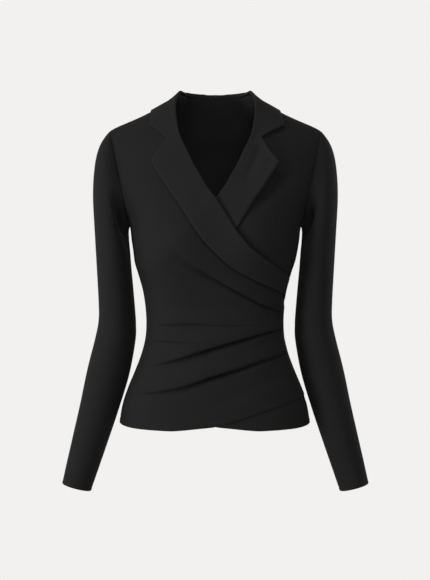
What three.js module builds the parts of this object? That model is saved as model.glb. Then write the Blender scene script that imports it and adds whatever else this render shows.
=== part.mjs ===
// A long-sleeved wrap top in black knit, worn form, hollow: millimetres, +Z up.
// The front faces -Y and +X is the wearer's left. The origin lies midway between
// the two neck points of the shoulders, where the wearer's shoulders carry the top.
// The wearer's right front laps over the left one and is pleated into the left side seam.

import * as THREE from "three";

// Cloth
const KNIT = 1.1; // one layer of the knit
const BAND = 1.6; // collar, lapel and band, two layers turned out
const SEAM_GAP = 0.3; // between pieces that are sewn together
const LAY_GAP = 1.2; // between layers that lie on each other
const FIRST_LAYER = 0.9; // middle of the layer next to the form, outside the form

// Heights of the main lines
const HEM_BACK = -549;
const UNDERARM = -214;
const BACK_NECK = 7; // neck seam at the back

// The form that the pieces are cut for, by height: half width, and reach to front and back
const FORM = [
  { z: -565, half: 160.5, front: 108, back: 109 },
  { z: -545, half: 158.5, front: 107, back: 108 },
  { z: -518, half: 154, front: 105, back: 108 },
  { z: -490, half: 145, front: 102, back: 104 },
  { z: -460, half: 132.5, front: 97, back: 97 },
  { z: -432, half: 122, front: 91.5, back: 89 },
  { z: -405, half: 115.3, front: 87, back: 82.5 },
  { z: -378, half: 113.5, front: 85, back: 79 },
  { z: -350, half: 115.2, front: 86, back: 79.5 },
  { z: -323, half: 119.5, front: 90, back: 83 },
  { z: -296, half: 127, front: 94, back: 88 },
  { z: -269, half: 135.3, front: 100, back: 92 },
  { z: -241, half: 140.5, front: 102, back: 95 },
  { z: -214, half: 144, front: 101, back: 97 },
  { z: -190, half: 153, front: 98, back: 98 },
  { z: -150, half: 171, front: 91, back: 98 },
  { z: -100, half: 184, front: 77, back: 94 },
  { z: -54, half: 192, front: 60, back: 82 },
  { z: -20, half: 198, front: 45, back: 71 },
  { z: 14, half: 202, front: 38, back: 61 },
  { z: 60, half: 205, front: 36, back: 56 },
];
const SQUARENESS = 2.4; // of the form's level sections, 2 is an ellipse
const CUP = { x: 72, z: -243, swell: 16, spread: 44 }; // fullness over each bust dart

// The shoulder line, from the centre outwards; inside the neck it only shapes the collar
const SHOULDER = [
  { x: 0, z: 110 },
  { x: 30, z: 78 },
  { x: 45, z: 40 },
  { x: 53, z: 20 },
  { x: 60, z: 10 },
  { x: 68, z: 2.5 },
  { x: 78, z: -5 },
  { x: 91, z: -12 },
  { x: 107, z: -20.5 },
  { x: 126, z: -30 },
  { x: 150, z: -40.5 },
  { x: 165, z: -47 },
  { x: 178, z: -54 },
  { x: 190, z: -64 },
  { x: 205, z: -90 },
];
const SHOULDER_ROUND = { front: 110, back: 95 }; // how far below the line the form is rounded

// The armhole seam seen from the front, and the neck point and shoulder tip on the shoulder line
const ARMHOLE = [
  { z: -54, x: 178 },
  { z: -62, x: 176.8 },
  { z: -97, x: 169 },
  { z: -130, x: 161.5 },
  { z: -155, x: 156 },
  { z: -180, x: 151.5 },
  { z: -200, x: 147.5 },
  { z: UNDERARM, x: 143.5 },
];
const NECK_POINT = 60;
const SHOULDER_TIP = 178;

// Lines on a front, in its own coordinates: x is positive towards its own armhole.
// Each runs from its own side to the far side seam, where it ends at height "seam".
const LINES = {
  wrap: {
    seam: -305,
    path: [
      { x: 60, z: 10 }, { x: 66.5, z: 0.5 }, { x: 69.7, z: -12 }, { x: 69, z: -30 },
      { x: 63.7, z: -62 }, { x: 53.2, z: -87 }, { x: 38.8, z: -117 }, { x: 20.5, z: -150 },
      { x: 1.6, z: -176.5 }, { x: -14.2, z: -200 }, { x: -31, z: -224.3 }, { x: -51.6, z: -248.4 },
      { x: -72.3, z: -266.5 }, { x: -96.2, z: -284.3 }, { x: -116, z: -297 },
    ],
  },
  shoulder: {
    seam: -325,
    path: [
      { x: 178, z: -54 }, { x: 130, z: -98 }, { x: 85, z: -152 }, { x: 40, z: -215 },
      { x: 0, z: -256 }, { x: -45, z: -290 }, { x: -90, z: -313 },
    ],
  },
  underarm: {
    seam: -347,
    path: [
      { x: 143.5, z: -214 }, { x: 110, z: -236 }, { x: 60, z: -262 }, { x: 0, z: -292 },
      { x: -50, z: -319 }, { x: -90, z: -337 },
    ],
  },
  bust: {
    own: -243,
    seam: -366,
    path: [
      { x: 104, z: -255 }, { x: 79, z: -264 }, { x: 50, z: -280 }, { x: 9, z: -302.5 },
      { x: -32.4, z: -325 }, { x: -74, z: -346.5 }, { x: -106, z: -360 },
    ],
  },
  waist: {
    own: -381,
    seam: -377,
    path: [
      { x: 80, z: -380.5 }, { x: 34, z: -379.5 }, { x: 0, z: -381.5 }, { x: -66, z: -379.5 },
    ],
  },
  high: {
    own: -452,
    seam: -387,
    path: [
      { x: 105, z: -449.7 }, { x: 79.5, z: -445.8 }, { x: 50, z: -439 }, { x: 9, z: -426.4 },
      { x: -32.5, z: -412.4 }, { x: -74, z: -397.8 }, { x: -104, z: -389.5 },
    ],
  },
  low: {
    own: -497,
    seam: -427,
    path: [
      { x: 113, z: -496 }, { x: 83, z: -492.5 }, { x: 50, z: -486.4 }, { x: 9, z: -473 },
      { x: -32.4, z: -459.3 }, { x: -74, z: -443.2 }, { x: -108, z: -432 },
    ],
  },
  hem: {
    own: -546,
    seam: -500,
    path: [
      { x: 137, z: -552.4 }, { x: 115, z: -554 }, { x: 91.5, z: -555 }, { x: 68, z: -555.3 },
      { x: 25, z: -551 }, { x: 0, z: -548 }, { x: -35, z: -538.4 }, { x: -60, z: -530.4 },
      { x: -90, z: -520 }, { x: -130, z: -506 },
    ],
  },
};

// Rows of the front's mesh between one line and the next
const FRONT_ROWS = [
  { from: "wrap", to: "shoulder", over: 6, under: 5 },
  { from: "shoulder", to: "underarm", over: 10, under: 10 },
  { from: "underarm", to: "bust", over: 2, under: 1 },
  { from: "bust", to: "waist", over: 6, under: 6 },
  { from: "waist", to: "high", over: 5, under: 3 },
  { from: "high", to: "low", over: 6, under: 2 },
  { from: "low", to: "hem", over: 5, under: 3 },
];
const FRONT_COLUMNS = { over: 32, under: 25 };
const ARMHOLE_ROWS = 10; // shared by the front, the back and the sleeve

// The pleats of the over front: a roll of cloth stands above each crease line.
// Height and width of the roll at the far seam, in the middle and at the own side.
const PLEATS = [
  { line: "bust", seam: [3.5, 7], middle: [4.5, 13], own: [2, 20] },
  { line: "waist", seam: [0, 8], middle: [1.6, 12], own: [1.2, 14] },
  { line: "high", seam: [4, 7], middle: [8, 12], own: [3, 15] },
  { line: "low", seam: [4.5, 9], middle: [7.5, 13], own: [3.5, 15] },
];

// Collar and lapel stations, in a front's own coordinates: where the cloth rolls over,
// and where its outer edge lies. The first ones are on the back.
const COLLAR = [
  { rollX: 0, rollZ: 14, rollSide: 1, edgeX: 0, edgeZ: -38, edgeSide: 1 },
  { rollX: 18, rollZ: 14, rollSide: 1, edgeX: 30, edgeZ: -38, edgeSide: 1 },
  { rollX: 34, rollZ: 14, rollSide: 1, edgeX: 57, edgeZ: -37, edgeSide: 1 },
  { rollX: 47, rollZ: 13.5, rollSide: 1, edgeX: 80, edgeZ: -34, edgeSide: 1 },
  { rollX: 54, rollZ: 13, rollSide: 1, edgeX: 97, edgeZ: -27, edgeSide: 1 },
  { rollX: 58, rollZ: 12.6, rollSide: 1, edgeX: 106, edgeZ: -20, edgeSide: 1 },
  { rollX: 64.5, rollZ: 3, rollSide: -1, edgeX: 109, edgeZ: -26, edgeSide: -1 },
  { rollX: 67.7, rollZ: -12, rollSide: -1, edgeX: 110.5, edgeZ: -36, edgeSide: -1 },
  { rollX: 67.5, rollZ: -22, rollSide: -1, edgeX: 110, edgeZ: -44, edgeSide: -1 },
  { rollX: 66.8, rollZ: -32, rollSide: -1, edgeX: 104, edgeZ: -50, edgeSide: -1 },
  { rollX: 65.2, rollZ: -44, rollSide: -1, edgeX: 90, edgeZ: -60, edgeSide: -1 },
  { rollX: 62, rollZ: -60, rollSide: -1, edgeX: 79.5, edgeZ: -69.5, edgeSide: -1 },
  { rollX: 56.5, rollZ: -75, rollSide: -1, edgeX: 93, edgeZ: -88, edgeSide: -1 },
  { rollX: 47.5, rollZ: -94, rollSide: -1, edgeX: 107.6, edgeZ: -107.5, edgeSide: -1 },
  { rollX: 37.2, rollZ: -115.7, rollSide: -1, edgeX: 96, edgeZ: -126.5, edgeSide: -1 },
  { rollX: 28, rollZ: -132, rollSide: -1, edgeX: 84, edgeZ: -145, edgeSide: -1 },
  { rollX: 18.9, rollZ: -148.5, rollSide: -1, edgeX: 71.8, edgeZ: -163.4, edgeSide: -1 },
  { rollX: 9, rollZ: -163, rollSide: -1, edgeX: 61, edgeZ: -178.5, edgeSide: -1 },
  { rollX: 0, rollZ: -175, rollSide: -1, edgeX: 51.8, edgeZ: -192, edgeSide: -1 },
  { rollX: -15.8, rollZ: -198.6, rollSide: -1, edgeX: 35.2, edgeZ: -217, edgeSide: -1 },
  { rollX: -32.2, rollZ: -222.7, rollSide: -1, edgeX: 17.1, edgeZ: -240, edgeSide: -1 },
  { rollX: -52.7, rollZ: -246.6, rollSide: -1, edgeX: -10.9, edgeZ: -270.3, edgeSide: -1 },
  { rollX: -73.4, rollZ: -264.6, rollSide: -1, edgeX: -37.3, edgeZ: -292.5, edgeSide: -1 },
  { rollX: -97.2, rollZ: -282.4, rollSide: -1, edgeX: -72, edgeZ: -314, edgeSide: -1 },
  { rollX: -114, rollZ: -294, rollSide: -1, edgeX: -105, edgeZ: -328, edgeSide: -1 },
];
const BAND_SEAM = { roll: -303, edge: -340 }; // where the band meets the far side seam
// Sections made between one row of that table and the next
const COLLAR_STEPS = [
  { from: 0, to: 5, steps: 2 },
  { from: 5, to: 7, steps: 3 },
  { from: 7, to: 14, steps: 1 },
  { from: 14, to: 24, steps: 2 },
  { from: 24, to: 25, steps: 4 },
];
const UNDER_COLLAR_END = 20; // the under lapel ends at this row, hidden by the over front
const STAND = { back: 5.7, front: 0.9 }; // from the roll down to the neck seam
const ROLL = { top: 1.1, start: 0.2, room: 0.7 }; // the fold, and more room at the back
const FALL_COLUMNS = 5;

// Sleeve sections from the armhole to the cuff: outer and inner point, middle and half depth
const SLEEVE = [
  { outX: 178, outZ: -54, inX: 145.6, inZ: -214, mid: 2, deep: 48 },
  { outX: 184, outZ: -59, inX: 146.6, inZ: -219, mid: 2, deep: 50 },
  { outX: 190, outZ: -66.5, inX: 146.9, inZ: -223.5, mid: 2, deep: 52 },
  { outX: 196.5, outZ: -79, inX: 146.7, inZ: -229, mid: 2, deep: 54.5 },
  { outX: 202, outZ: -97, inX: 146.4, inZ: -236, mid: 2, deep: 57 },
  { outX: 205.4, outZ: -119, inX: 146, inZ: -244, mid: 2, deep: 58.5 },
  { outX: 207.4, outZ: -146, inX: 145.3, inZ: -254, mid: 3, deep: 59.5 },
  { outX: 207.4, outZ: -175, inX: 144.6, inZ: -266, mid: 3, deep: 60 },
  { outX: 205, outZ: -220, inX: 143.4, inZ: -286, mid: 4, deep: 59 },
  { outX: 201.5, outZ: -282, inX: 140.8, inZ: -314, mid: 5, deep: 55 },
  { outX: 198.2, outZ: -345, inX: 137.2, inZ: -356, mid: 6, deep: 50 },
  { outX: 198.4, outZ: -375, inX: 135.7, inZ: -380, mid: 6, deep: 48.5 },
  { outX: 204, outZ: -405, inX: 136.5, inZ: -409, mid: 4, deep: 48 },
  { outX: 217, outZ: -458, inX: 146.5, inZ: -465, mid: -3, deep: 45.5 },
  { outX: 228, outZ: -513, inX: 163, inZ: -521, mid: -11, deep: 42 },
  { outX: 240, outZ: -568, inX: 181.5, inZ: -577, mid: -19, deep: 38 },
  { outX: 251.5, outZ: -620, inX: 200, inZ: -631, mid: -26, deep: 35 },
  { outX: 257.3, outZ: -648, inX: 210, inZ: -660.6, mid: -29, deep: 34 },
];
const SLEEVE_RINGS = 20;
const SLEEVE_CAP_ROWS = 3; // over these rows of the table the armhole turns into a section
const SLEEVE_GAP = { top: 0.9, under: 2.1 }; // from wall to wall, along X, middle to middle

const BLACK_KNIT = { color: 0x17171a, roughness: 0.92, metalness: 0 };

const mix = (a, b, t) => a + (b - a) * t;
const clamp = (value, low, high) => Math.min(Math.max(value, low), high);
const ease = (t) => clamp(t, 0, 1) ** 2 * (3 - 2 * clamp(t, 0, 1));

// A value between the rows of a table, on a smooth curve through them
function smooth(rows, key, column, at) {
  const last = rows.length - 1;
  const rising = rows[last][key] > rows[0][key];
  let i = 0;
  while (i < last - 1 && (rising ? at > rows[i + 1][key] : at < rows[i + 1][key])) i++;
  const slope = (k) => {
    const before = rows[Math.max(k - 1, 0)];
    const after = rows[Math.min(k + 1, last)];
    return (after[column] - before[column]) / (after[key] - before[key]);
  };
  const step = rows[i + 1][key] - rows[i][key];
  const t = clamp((at - rows[i][key]) / step, 0, 1);
  const start = rows[i][column];
  const end = rows[i + 1][column];
  const bend = (t - 1) ** 2 * t * slope(i) * step + t * t * (t - 1) * slope(i + 1) * step;
  return mix(start, end, t * t * (3 - 2 * t)) + bend;
}

// The form: how far its surface lies in front of (side -1) or behind (side 1) the seams
const halfWidth = (z) => smooth(FORM, "z", "half", z);
const shoulderZ = (x) => smooth(SHOULDER, "x", "z", Math.abs(x));
const roundOf = (side) => (side < 0 ? SHOULDER_ROUND.front : SHOULDER_ROUND.back);

function reach(x, z, side) {
  const across = Math.min(Math.abs(x) / halfWidth(z), 1);
  const below = Math.max(shoulderZ(x) - z, 0) / roundOf(side);
  const rounding = below >= 1 ? 1 : Math.sqrt(1 - (1 - below) ** 2);
  const section = (1 - across ** SQUARENESS) ** (1 / SQUARENESS);
  const swell = [-1, 1].reduce((sum, way) => {
    const away = (x - way * CUP.x) ** 2 + (z - CUP.z) ** 2;
    return sum + CUP.swell * Math.exp(-away / (2 * CUP.spread ** 2));
  }, 0);
  const base = smooth(FORM, "z", side < 0 ? "front" : "back", z);
  return base * section * rounding + (side < 0 ? swell * Math.min(1, 3 * (1 - across)) : 0);
}

// Places on the form are pairs (around, over): "around" is -1 and 1 at the side seams,
// and "over" is 0 on the shoulder line, growing down the back and falling down the front.
// Lines of equal "over" follow the shoulder line at first and are level further down.
const LEVEL = { z: -20, from: 2.2 };

function heightOf(x, over, side) {
  const below = over < Math.PI / 2 ? 1 - Math.cos(over) : 1 + over - Math.PI / 2;
  return mix(shoulderZ(x), LEVEL.z, ease(over / LEVEL.from)) - below * roundOf(side);
}

function placeOf(x, z, side) {
  const around = (Math.asin(clamp(x / halfWidth(z), -1, 1)) * 2) / Math.PI;
  let low = 0;
  let high = 8;
  for (let turn = 0; turn < 30; turn++) {
    const middle = (low + high) / 2;
    if (heightOf(x, middle, side) > z) low = middle;
    else high = middle;
  }
  return new THREE.Vector2(around, side * high);
}

function onForm(place) {
  const side = place.y < 0 ? -1 : 1;
  let x = 0;
  let z = UNDERARM;
  for (let turn = 0; turn < 40; turn++) {
    x = halfWidth(z) * Math.sin((place.x * Math.PI) / 2);
    z = mix(z, heightOf(x, Math.abs(place.y), side), 0.7);
  }
  return new THREE.Vector3(x, side * reach(x, z, side), z);
}

// A smooth line through places, even along its length, with u from 0 to 1
const AROUND_LENGTH = 200; // millimetres from the centre to a side seam, roughly
const OVER_LENGTH = 100; // millimetres for one unit of "over", roughly

function lineThrough(places) {
  const rows = places.map((place) => ({ at: 0, around: place.x, over: place.y }));
  for (let i = 1; i < rows.length; i++) {
    const around = (places[i].x - places[i - 1].x) * AROUND_LENGTH;
    const over = (places[i].y - places[i - 1].y) * OVER_LENGTH;
    rows[i].at = rows[i - 1].at + Math.hypot(around, over);
  }
  const length = rows[rows.length - 1].at;
  const value = (column, u) => smooth(rows, "at", column, u * length);
  return (u) => new THREE.Vector2(value("around", u), value("over", u));
}

// Meshes are grids of points; normals come from neighbouring points
function normals(grid, closed) {
  const rows = grid.length;
  const columns = grid[0].length;
  return grid.map((row, i) =>
    row.map((point, j) => {
      const left = closed ? row[(j + columns - 1) % columns] : row[Math.max(j - 1, 0)];
      const right = closed ? row[(j + 1) % columns] : row[Math.min(j + 1, columns - 1)];
      const along = right.clone().sub(left);
      const down = grid[Math.min(i + 1, rows - 1)][j].clone().sub(grid[Math.max(i - 1, 0)][j]);
      const normal = along.cross(down);
      if (Math.abs(point.y) < 0.2) normal.y = 0;
      if (Math.abs(point.x) < 0.2 && i === 0) normal.x = 0;
      return normal.normalize();
    }),
  );
}

function moveOut(grid, amount, closed = false) {
  const out = normals(grid, closed);
  return grid.map((row, i) =>
    row.map((point, j) => point.clone().addScaledVector(out[i][j], amount(i, j, point))),
  );
}

// A wall of cloth round a grid of middle points, as one closed mesh
function wallMesh(name, grid, thickness, closed = false) {
  const outer = moveOut(grid, () => thickness / 2, closed);
  const inner = moveOut(grid, () => -thickness / 2, closed);
  const rows = grid.length;
  const columns = grid[0].length;
  const position = [...outer.flat(), ...inner.flat()].flatMap((p) => [p.x, p.y, p.z]);
  const index = [];
  const corner = (layer, i, j) => layer * rows * columns + i * columns + (j % columns);
  const quad = (a, b, c, d) => index.push(a, c, b, a, d, c);
  const last = closed ? columns : columns - 1;
  for (let i = 0; i < rows - 1; i++) {
    for (let j = 0; j < last; j++) {
      quad(corner(0, i, j), corner(0, i + 1, j), corner(0, i + 1, j + 1), corner(0, i, j + 1));
      quad(corner(1, i, j), corner(1, i, j + 1), corner(1, i + 1, j + 1), corner(1, i + 1, j));
    }
  }
  for (let j = 0; j < last; j++) {
    quad(corner(0, 0, j), corner(0, 0, j + 1), corner(1, 0, j + 1), corner(1, 0, j));
    const end = rows - 1;
    quad(corner(0, end, j + 1), corner(0, end, j), corner(1, end, j), corner(1, end, j + 1));
  }
  if (!closed) {
    for (let i = 0; i < rows - 1; i++) {
      quad(corner(0, i + 1, 0), corner(0, i, 0), corner(1, i, 0), corner(1, i + 1, 0));
      const j = columns - 1;
      quad(corner(0, i, j), corner(0, i + 1, j), corner(1, i + 1, j), corner(1, i, j));
    }
  }
  const geometry = new THREE.BufferGeometry();
  geometry.setAttribute("position", new THREE.Float32BufferAttribute(position, 3));
  geometry.setIndex(index);
  geometry.computeVertexNormals();
  const mesh = new THREE.Mesh(geometry, new THREE.MeshStandardMaterial(BLACK_KNIT));
  mesh.name = name;
  return mesh;
}

// Normals point out when a grid's columns and rows turn the right way; this turns it round
const turned = (grid) => grid.map((row) => [...row].reverse());

// Where the rows of a panel end on the armhole, from the shoulder tip to the underarm
function armholeStops() {
  const stops = [];
  for (let k = 0; k <= ARMHOLE_ROWS; k++) {
    const fall = (1 - Math.cos((Math.PI * k) / ARMHOLE_ROWS)) / 2;
    const z = mix(ARMHOLE[0].z, UNDERARM, fall);
    stops.push({ x: smooth(ARMHOLE, "z", "x", z), z });
  }
  return stops;
}

// Lines of a front as places, own side first
function frontLine(name) {
  const line = LINES[name];
  const places = line.path.map((point) => placeOf(point.x, point.z, -1));
  if (line.own) places.unshift(new THREE.Vector2(1, placeOf(halfWidth(line.own), line.own, -1).y));
  const seamOver = placeOf(-halfWidth(line.seam), line.seam, -1).y;
  places.push(new THREE.Vector2(-1, seamOver));
  if (name === "wrap" || name === "shoulder") places[0].y = 0;
  return lineThrough(places);
}

// Rows of places over a front: between two lines they are evened, finer near the lines
function frontPlaces(layer) {
  const columns = FRONT_COLUMNS[layer];
  const rows = [];
  FRONT_ROWS.forEach((band, number) => {
    const from = frontLine(band.from);
    const to = frontLine(band.to);
    for (let k = number === 0 ? 0 : 1; k <= band[layer]; k++) {
      const even = k / band[layer];
      const part = number < 2 ? even : (1 - Math.cos(Math.PI * even)) / 2;
      const off = ownStop(band, k, part).sub(from(0).lerp(to(0), part));
      const row = [];
      for (let j = 0; j <= columns; j++) {
        const u = closerAtEnds(j / columns);
        row.push(from(u).lerp(to(u), part).addScaledVector(off, (1 - u) ** 3));
      }
      rows.push(row);
    }
  });
  return rows;
}

// Spacing of columns: twice as close at the seams, where the form turns most
const closerAtEnds = (t) => t - (0.5 * Math.sin(2 * Math.PI * t)) / (2 * Math.PI);

// The end of a row at the front's own side: on the shoulder, the armhole or the side seam
function ownStop(band, k, part) {
  if (band.from === "wrap") {
    const x = mix(NECK_POINT, SHOULDER_TIP, part);
    const place = placeOf(x, shoulderZ(x), -1);
    return new THREE.Vector2(place.x, 0);
  }
  if (band.from === "shoulder") {
    const stop = armholeStops()[k];
    const around = k === ARMHOLE_ROWS ? 1 : placeOf(stop.x, stop.z, -1).x;
    return new THREE.Vector2(around, placeOf(stop.x, stop.z, -1).y);
  }
  const from = band.from === "underarm" ? UNDERARM : LINES[band.from].own;
  const z = mix(from, LINES[band.to].own, part);
  return new THREE.Vector2(1, placeOf(halfWidth(z), z, -1).y);
}

// How much further out the over front lies: on the under front, and on the hidden lapel
const UNDER_FRONT = { above: 45, fade: 30 }; // the step onto it ends above its wrap edge
const HIDDEN_LAPEL = { x: -6, z: -205, tall: 0.8, reach: 95, fade: 55 };
const wrapRows = LINES.wrap.path.slice(3).map((point) => ({ x: -point.x, z: point.z }));

function layerLift(x, z) {
  const wrapEnd = wrapRows[wrapRows.length - 1].x;
  const wrapZ = x < wrapRows[0].x ? 0 : smooth(wrapRows, "x", "z", Math.min(x, wrapEnd));
  const covers = ease((wrapZ + UNDER_FRONT.above - z) / UNDER_FRONT.fade);
  const away = Math.hypot(x - HIDDEN_LAPEL.x, (z - HIDDEN_LAPEL.z) * HIDDEN_LAPEL.tall);
  const overLapel = ease((HIDDEN_LAPEL.reach - away) / HIDDEN_LAPEL.fade);
  return covers * (KNIT + LAY_GAP) + overLapel * (BAND + LAY_GAP);
}

// How far the pleats of the over front stand out: each roll rises from its crease line
// and dies away above it, and all of them are flat at the side seams
const PLEAT_SPAN = 120; // from the centre to where the sizes for a seam hold
const pleatRows = PLEATS.map((pleat) => {
  const line = LINES[pleat.line];
  const seam = { x: -halfWidth(line.seam), z: line.seam };
  const own = { x: halfWidth(line.own), z: line.own };
  return [own, ...line.path, seam];
});

function pleatSize(pleat, x, k) {
  const far = clamp(-x / PLEAT_SPAN, 0, 1) ** 2;
  const near = clamp(x / PLEAT_SPAN, 0, 1);
  const middle = pleat.middle[k];
  return middle + (pleat.seam[k] - middle) * far + (pleat.own[k] - middle) * near;
}

function pleatLift(x, z) {
  const fades = 1 - clamp(Math.abs(x) / halfWidth(z), 0, 1) ** 12;
  return PLEATS.reduce((most, pleat, number) => {
    const above = z - smooth(pleatRows[number], "x", "z", x);
    if (above <= 0) return most;
    const part = above / pleatSize(pleat, x, 1);
    const shape = part < 1 ? Math.sin((Math.PI * part) / 2) : 1 - ease((part - 1) / 2);
    return Math.max(most, pleatSize(pleat, x, 0) * shape * fades);
  }, 0);
}

const overLift = (x, z) => FIRST_LAYER + layerLift(x, z) + pleatLift(x, z);

function frontPanel(name, way, over) {
  const form = frontPlaces(over ? "over" : "under").map((row) =>
    row.map((place) => onForm(place).add(new THREE.Vector3(0, -SEAM_GAP / 2, 0))),
  );
  const lift = (i, j, p) => (over ? overLift(p.x, p.z) : FIRST_LAYER);
  const own = moveOut(form, lift);
  own.forEach((row) => row.forEach((point) => point.setX(point.x * way)));
  return wallMesh(name, way > 0 ? own : turned(own), KNIT);
}

// The back: its rows run from one armhole or side seam to the other
const BACK_ROWS_BELOW = 12;
const BACK_HALF_COLUMNS = 14;
const NECK_COLUMNS = 6;

function backPanel() {
  const tip = placeOf(SHOULDER_TIP, shoulderZ(SHOULDER_TIP), 1).x;
  const neck = placeOf(NECK_POINT, shoulderZ(NECK_POINT), 1).x;
  const topPlace = (j) => {
    if (j >= NECK_COLUMNS) {
      const part = (j - NECK_COLUMNS) / (BACK_HALF_COLUMNS - NECK_COLUMNS);
      return new THREE.Vector2(mix(neck, tip, part), 0);
    }
    const part = Math.sin((Math.PI / 2) * (j / NECK_COLUMNS) ** 0.85);
    const z = mix(BACK_NECK, shoulderZ(NECK_POINT), part ** 6);
    return placeOf(NECK_POINT * part, z, 1);
  };
  const stops = armholeStops();
  const grid = [];
  const rowOf = (part, end) => {
    const row = [];
    for (let j = -BACK_HALF_COLUMNS; j <= BACK_HALF_COLUMNS; j++) {
      const u = Math.abs(j) / BACK_HALF_COLUMNS;
      const under = placeOf(halfWidth(UNDERARM) * Math.sin((u * Math.PI) / 2), UNDERARM, 1);
      const place = topPlace(Math.abs(j)).lerp(under, part);
      const last = topPlace(BACK_HALF_COLUMNS).lerp(new THREE.Vector2(1, under.y), part);
      const edge = placeOf(halfWidth(UNDERARM), UNDERARM, 1);
      last.y = mix(0, edge.y, part);
      place.add(end.clone().sub(last).multiplyScalar(u ** 3));
      place.x *= Math.sign(j);
      row.push(place);
    }
    return row;
  };
  stops.forEach((stop, k) => {
    const end = placeOf(stop.x, stop.z, 1);
    if (k === 0) end.y = 0;
    if (k === ARMHOLE_ROWS) end.x = 1;
    grid.push(rowOf(k / ARMHOLE_ROWS, end));
  });
  for (let k = 1; k <= BACK_ROWS_BELOW; k++) {
    const z = mix(UNDERARM, HEM_BACK, k / BACK_ROWS_BELOW);
    const row = [];
    for (let j = -BACK_HALF_COLUMNS; j <= BACK_HALF_COLUMNS; j++) {
      const u = j / BACK_HALF_COLUMNS;
      const across = halfWidth(z) * Math.sin((u * Math.PI) / 2);
      row.push(new THREE.Vector2(u, placeOf(across, z, 1).y));
    }
    grid.push(row);
  }
  const form = grid.map((row) =>
    row.map((place) => onForm(place).add(new THREE.Vector3(0, SEAM_GAP / 2, 0))),
  );
  return wallMesh("back", moveOut(form, () => FIRST_LAYER), KNIT);
}

// A sleeve: rings from the armhole seam to the cuff
function sleeve(name, way) {
  const stops = armholeStops();
  const armhole = (side) =>
    stops.map((stop, k) => {
      const place = placeOf(stop.x, stop.z, side);
      if (k === 0) place.y = side * 1e-6;
      if (k === ARMHOLE_ROWS) place.x = 1;
      return onForm(place).addScaledVector(formNormal(place), FIRST_LAYER);
    });
  const front = armhole(-1);
  const back = armhole(1);
  const loop = [...front, ...back.slice(1, -1).reverse()];
  const count = loop.length;
  const rows = SLEEVE.map((row, at) => ({ ...row, at }));
  const grid = [];
  for (let i = 0; i <= SLEEVE_RINGS; i++) {
    const at = (SLEEVE.length - 1) * (i / SLEEVE_RINGS);
    const value = (column) => smooth(rows, "at", column, at);
    const seam = 1 - ease(at / SLEEVE_CAP_ROWS);
    const ring = loop.map((point, k) => {
      const turn = (2 * Math.PI * k) / count;
      const across = (1 + Math.cos(turn)) / 2;
      const section = new THREE.Vector3(
        mix(value("inX"), value("outX"), across),
        value("mid") - value("deep") * Math.sin(turn),
        mix(value("inZ"), value("outZ"), across),
      );
      const start = point.clone();
      start.x += mix(SLEEVE_GAP.under, SLEEVE_GAP.top, across);
      return section.lerp(start, seam);
    });
    grid.push(ring);
  }
  grid.forEach((row) => row.forEach((point) => point.setX(point.x * way)));
  return wallMesh(name, way > 0 ? grid : turned(grid), KNIT, true);
}

// Collar, lapel and band: at each station the cloth comes up from the neck seam,
// rolls over and falls back onto the panel
function collar(name, way, over) {
  const rows = COLLAR.map((row, at) => {
    const roll = placeOf(row.rollX, row.rollZ, row.rollSide);
    const edge = placeOf(row.edgeX, row.edgeZ, row.edgeSide);
    return { at, rollAround: roll.x, rollOver: roll.y, edgeAround: edge.x, edgeOver: edge.y };
  });
  rows.push({
    at: rows.length,
    rollAround: -1,
    rollOver: placeOf(-halfWidth(BAND_SEAM.roll), BAND_SEAM.roll, -1).y,
    edgeAround: -1,
    edgeOver: placeOf(-halfWidth(BAND_SEAM.edge), BAND_SEAM.edge, -1).y,
  });
  const grid = [];
  for (const part of COLLAR_STEPS) {
    const end = over ? rows.length - 1 : UNDER_COLLAR_END;
    for (let at = part.from; at < part.to && at <= end; at += 1 / part.steps) {
      grid.push(collarSection(rows, at, over));
    }
  }
  if (over) grid.push(collarSection(rows, rows.length - 1, over));
  grid.forEach((row) => row.forEach((point) => point.setX(point.x * way)));
  return wallMesh(name, way > 0 ? turned(grid) : grid, BAND);
}

// One section of the collar: up the stand, over the roll and down the fall
function collarSection(rows, at, over) {
  const value = (column) => smooth(rows, "at", column, at);
  const roll = new THREE.Vector2(value("rollAround"), value("rollOver"));
  const edge = new THREE.Vector2(value("edgeAround"), value("edgeOver"));
  const fall = [];
  for (let k = 0; k <= FALL_COLUMNS; k++) fall.push(roll.clone().lerp(edge, k / FALL_COLUMNS));
  const points = fall.map((place) => onForm(place));
  const outward = fall.map((place) => formNormal(place));
  const away = points[1].clone().sub(points[0]).normalize();
  const lifts = points.map((p) => (over ? overLift(p.x, p.z) : FIRST_LAYER));
  const room = mix(ROLL.room, 0, ease((at - 6) / 4));
  const fallLift = (KNIT + BAND) / 2 + LAY_GAP + room;
  const low = mix(STAND.back, STAND.front, ease((at - 1.5) / 3));
  const row = [];
  const put = (along, lift) =>
    row.push(points[0].clone().addScaledVector(away, along).addScaledVector(outward[0], lift));
  put(low, lifts[0]);
  put(ROLL.start, lifts[0]);
  put(-ROLL.top, lifts[0] + fallLift / 2);
  put(ROLL.start, lifts[0] + fallLift);
  for (let k = 1; k <= FALL_COLUMNS; k++) {
    row.push(points[k].clone().addScaledVector(outward[k], lifts[k] + fallLift));
  }
  if (at === 0) row.forEach((point) => point.setX(SEAM_GAP / 2));
  return row;
}

// The direction straight out of the form at a place
function formNormal(place) {
  const small = 0.004;
  const shifted = (around, over) => {
    const x = clamp(place.x + around, -1, 1);
    return onForm(new THREE.Vector2(x, place.y + over));
  };
  const across = shifted(small, 0).sub(shifted(-small, 0));
  const down = shifted(0, small).sub(shifted(0, -small));
  const normal = across.cross(down);
  if (Math.abs(place.x) === 1) normal.y = 0;
  return normal.normalize();
}

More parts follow.
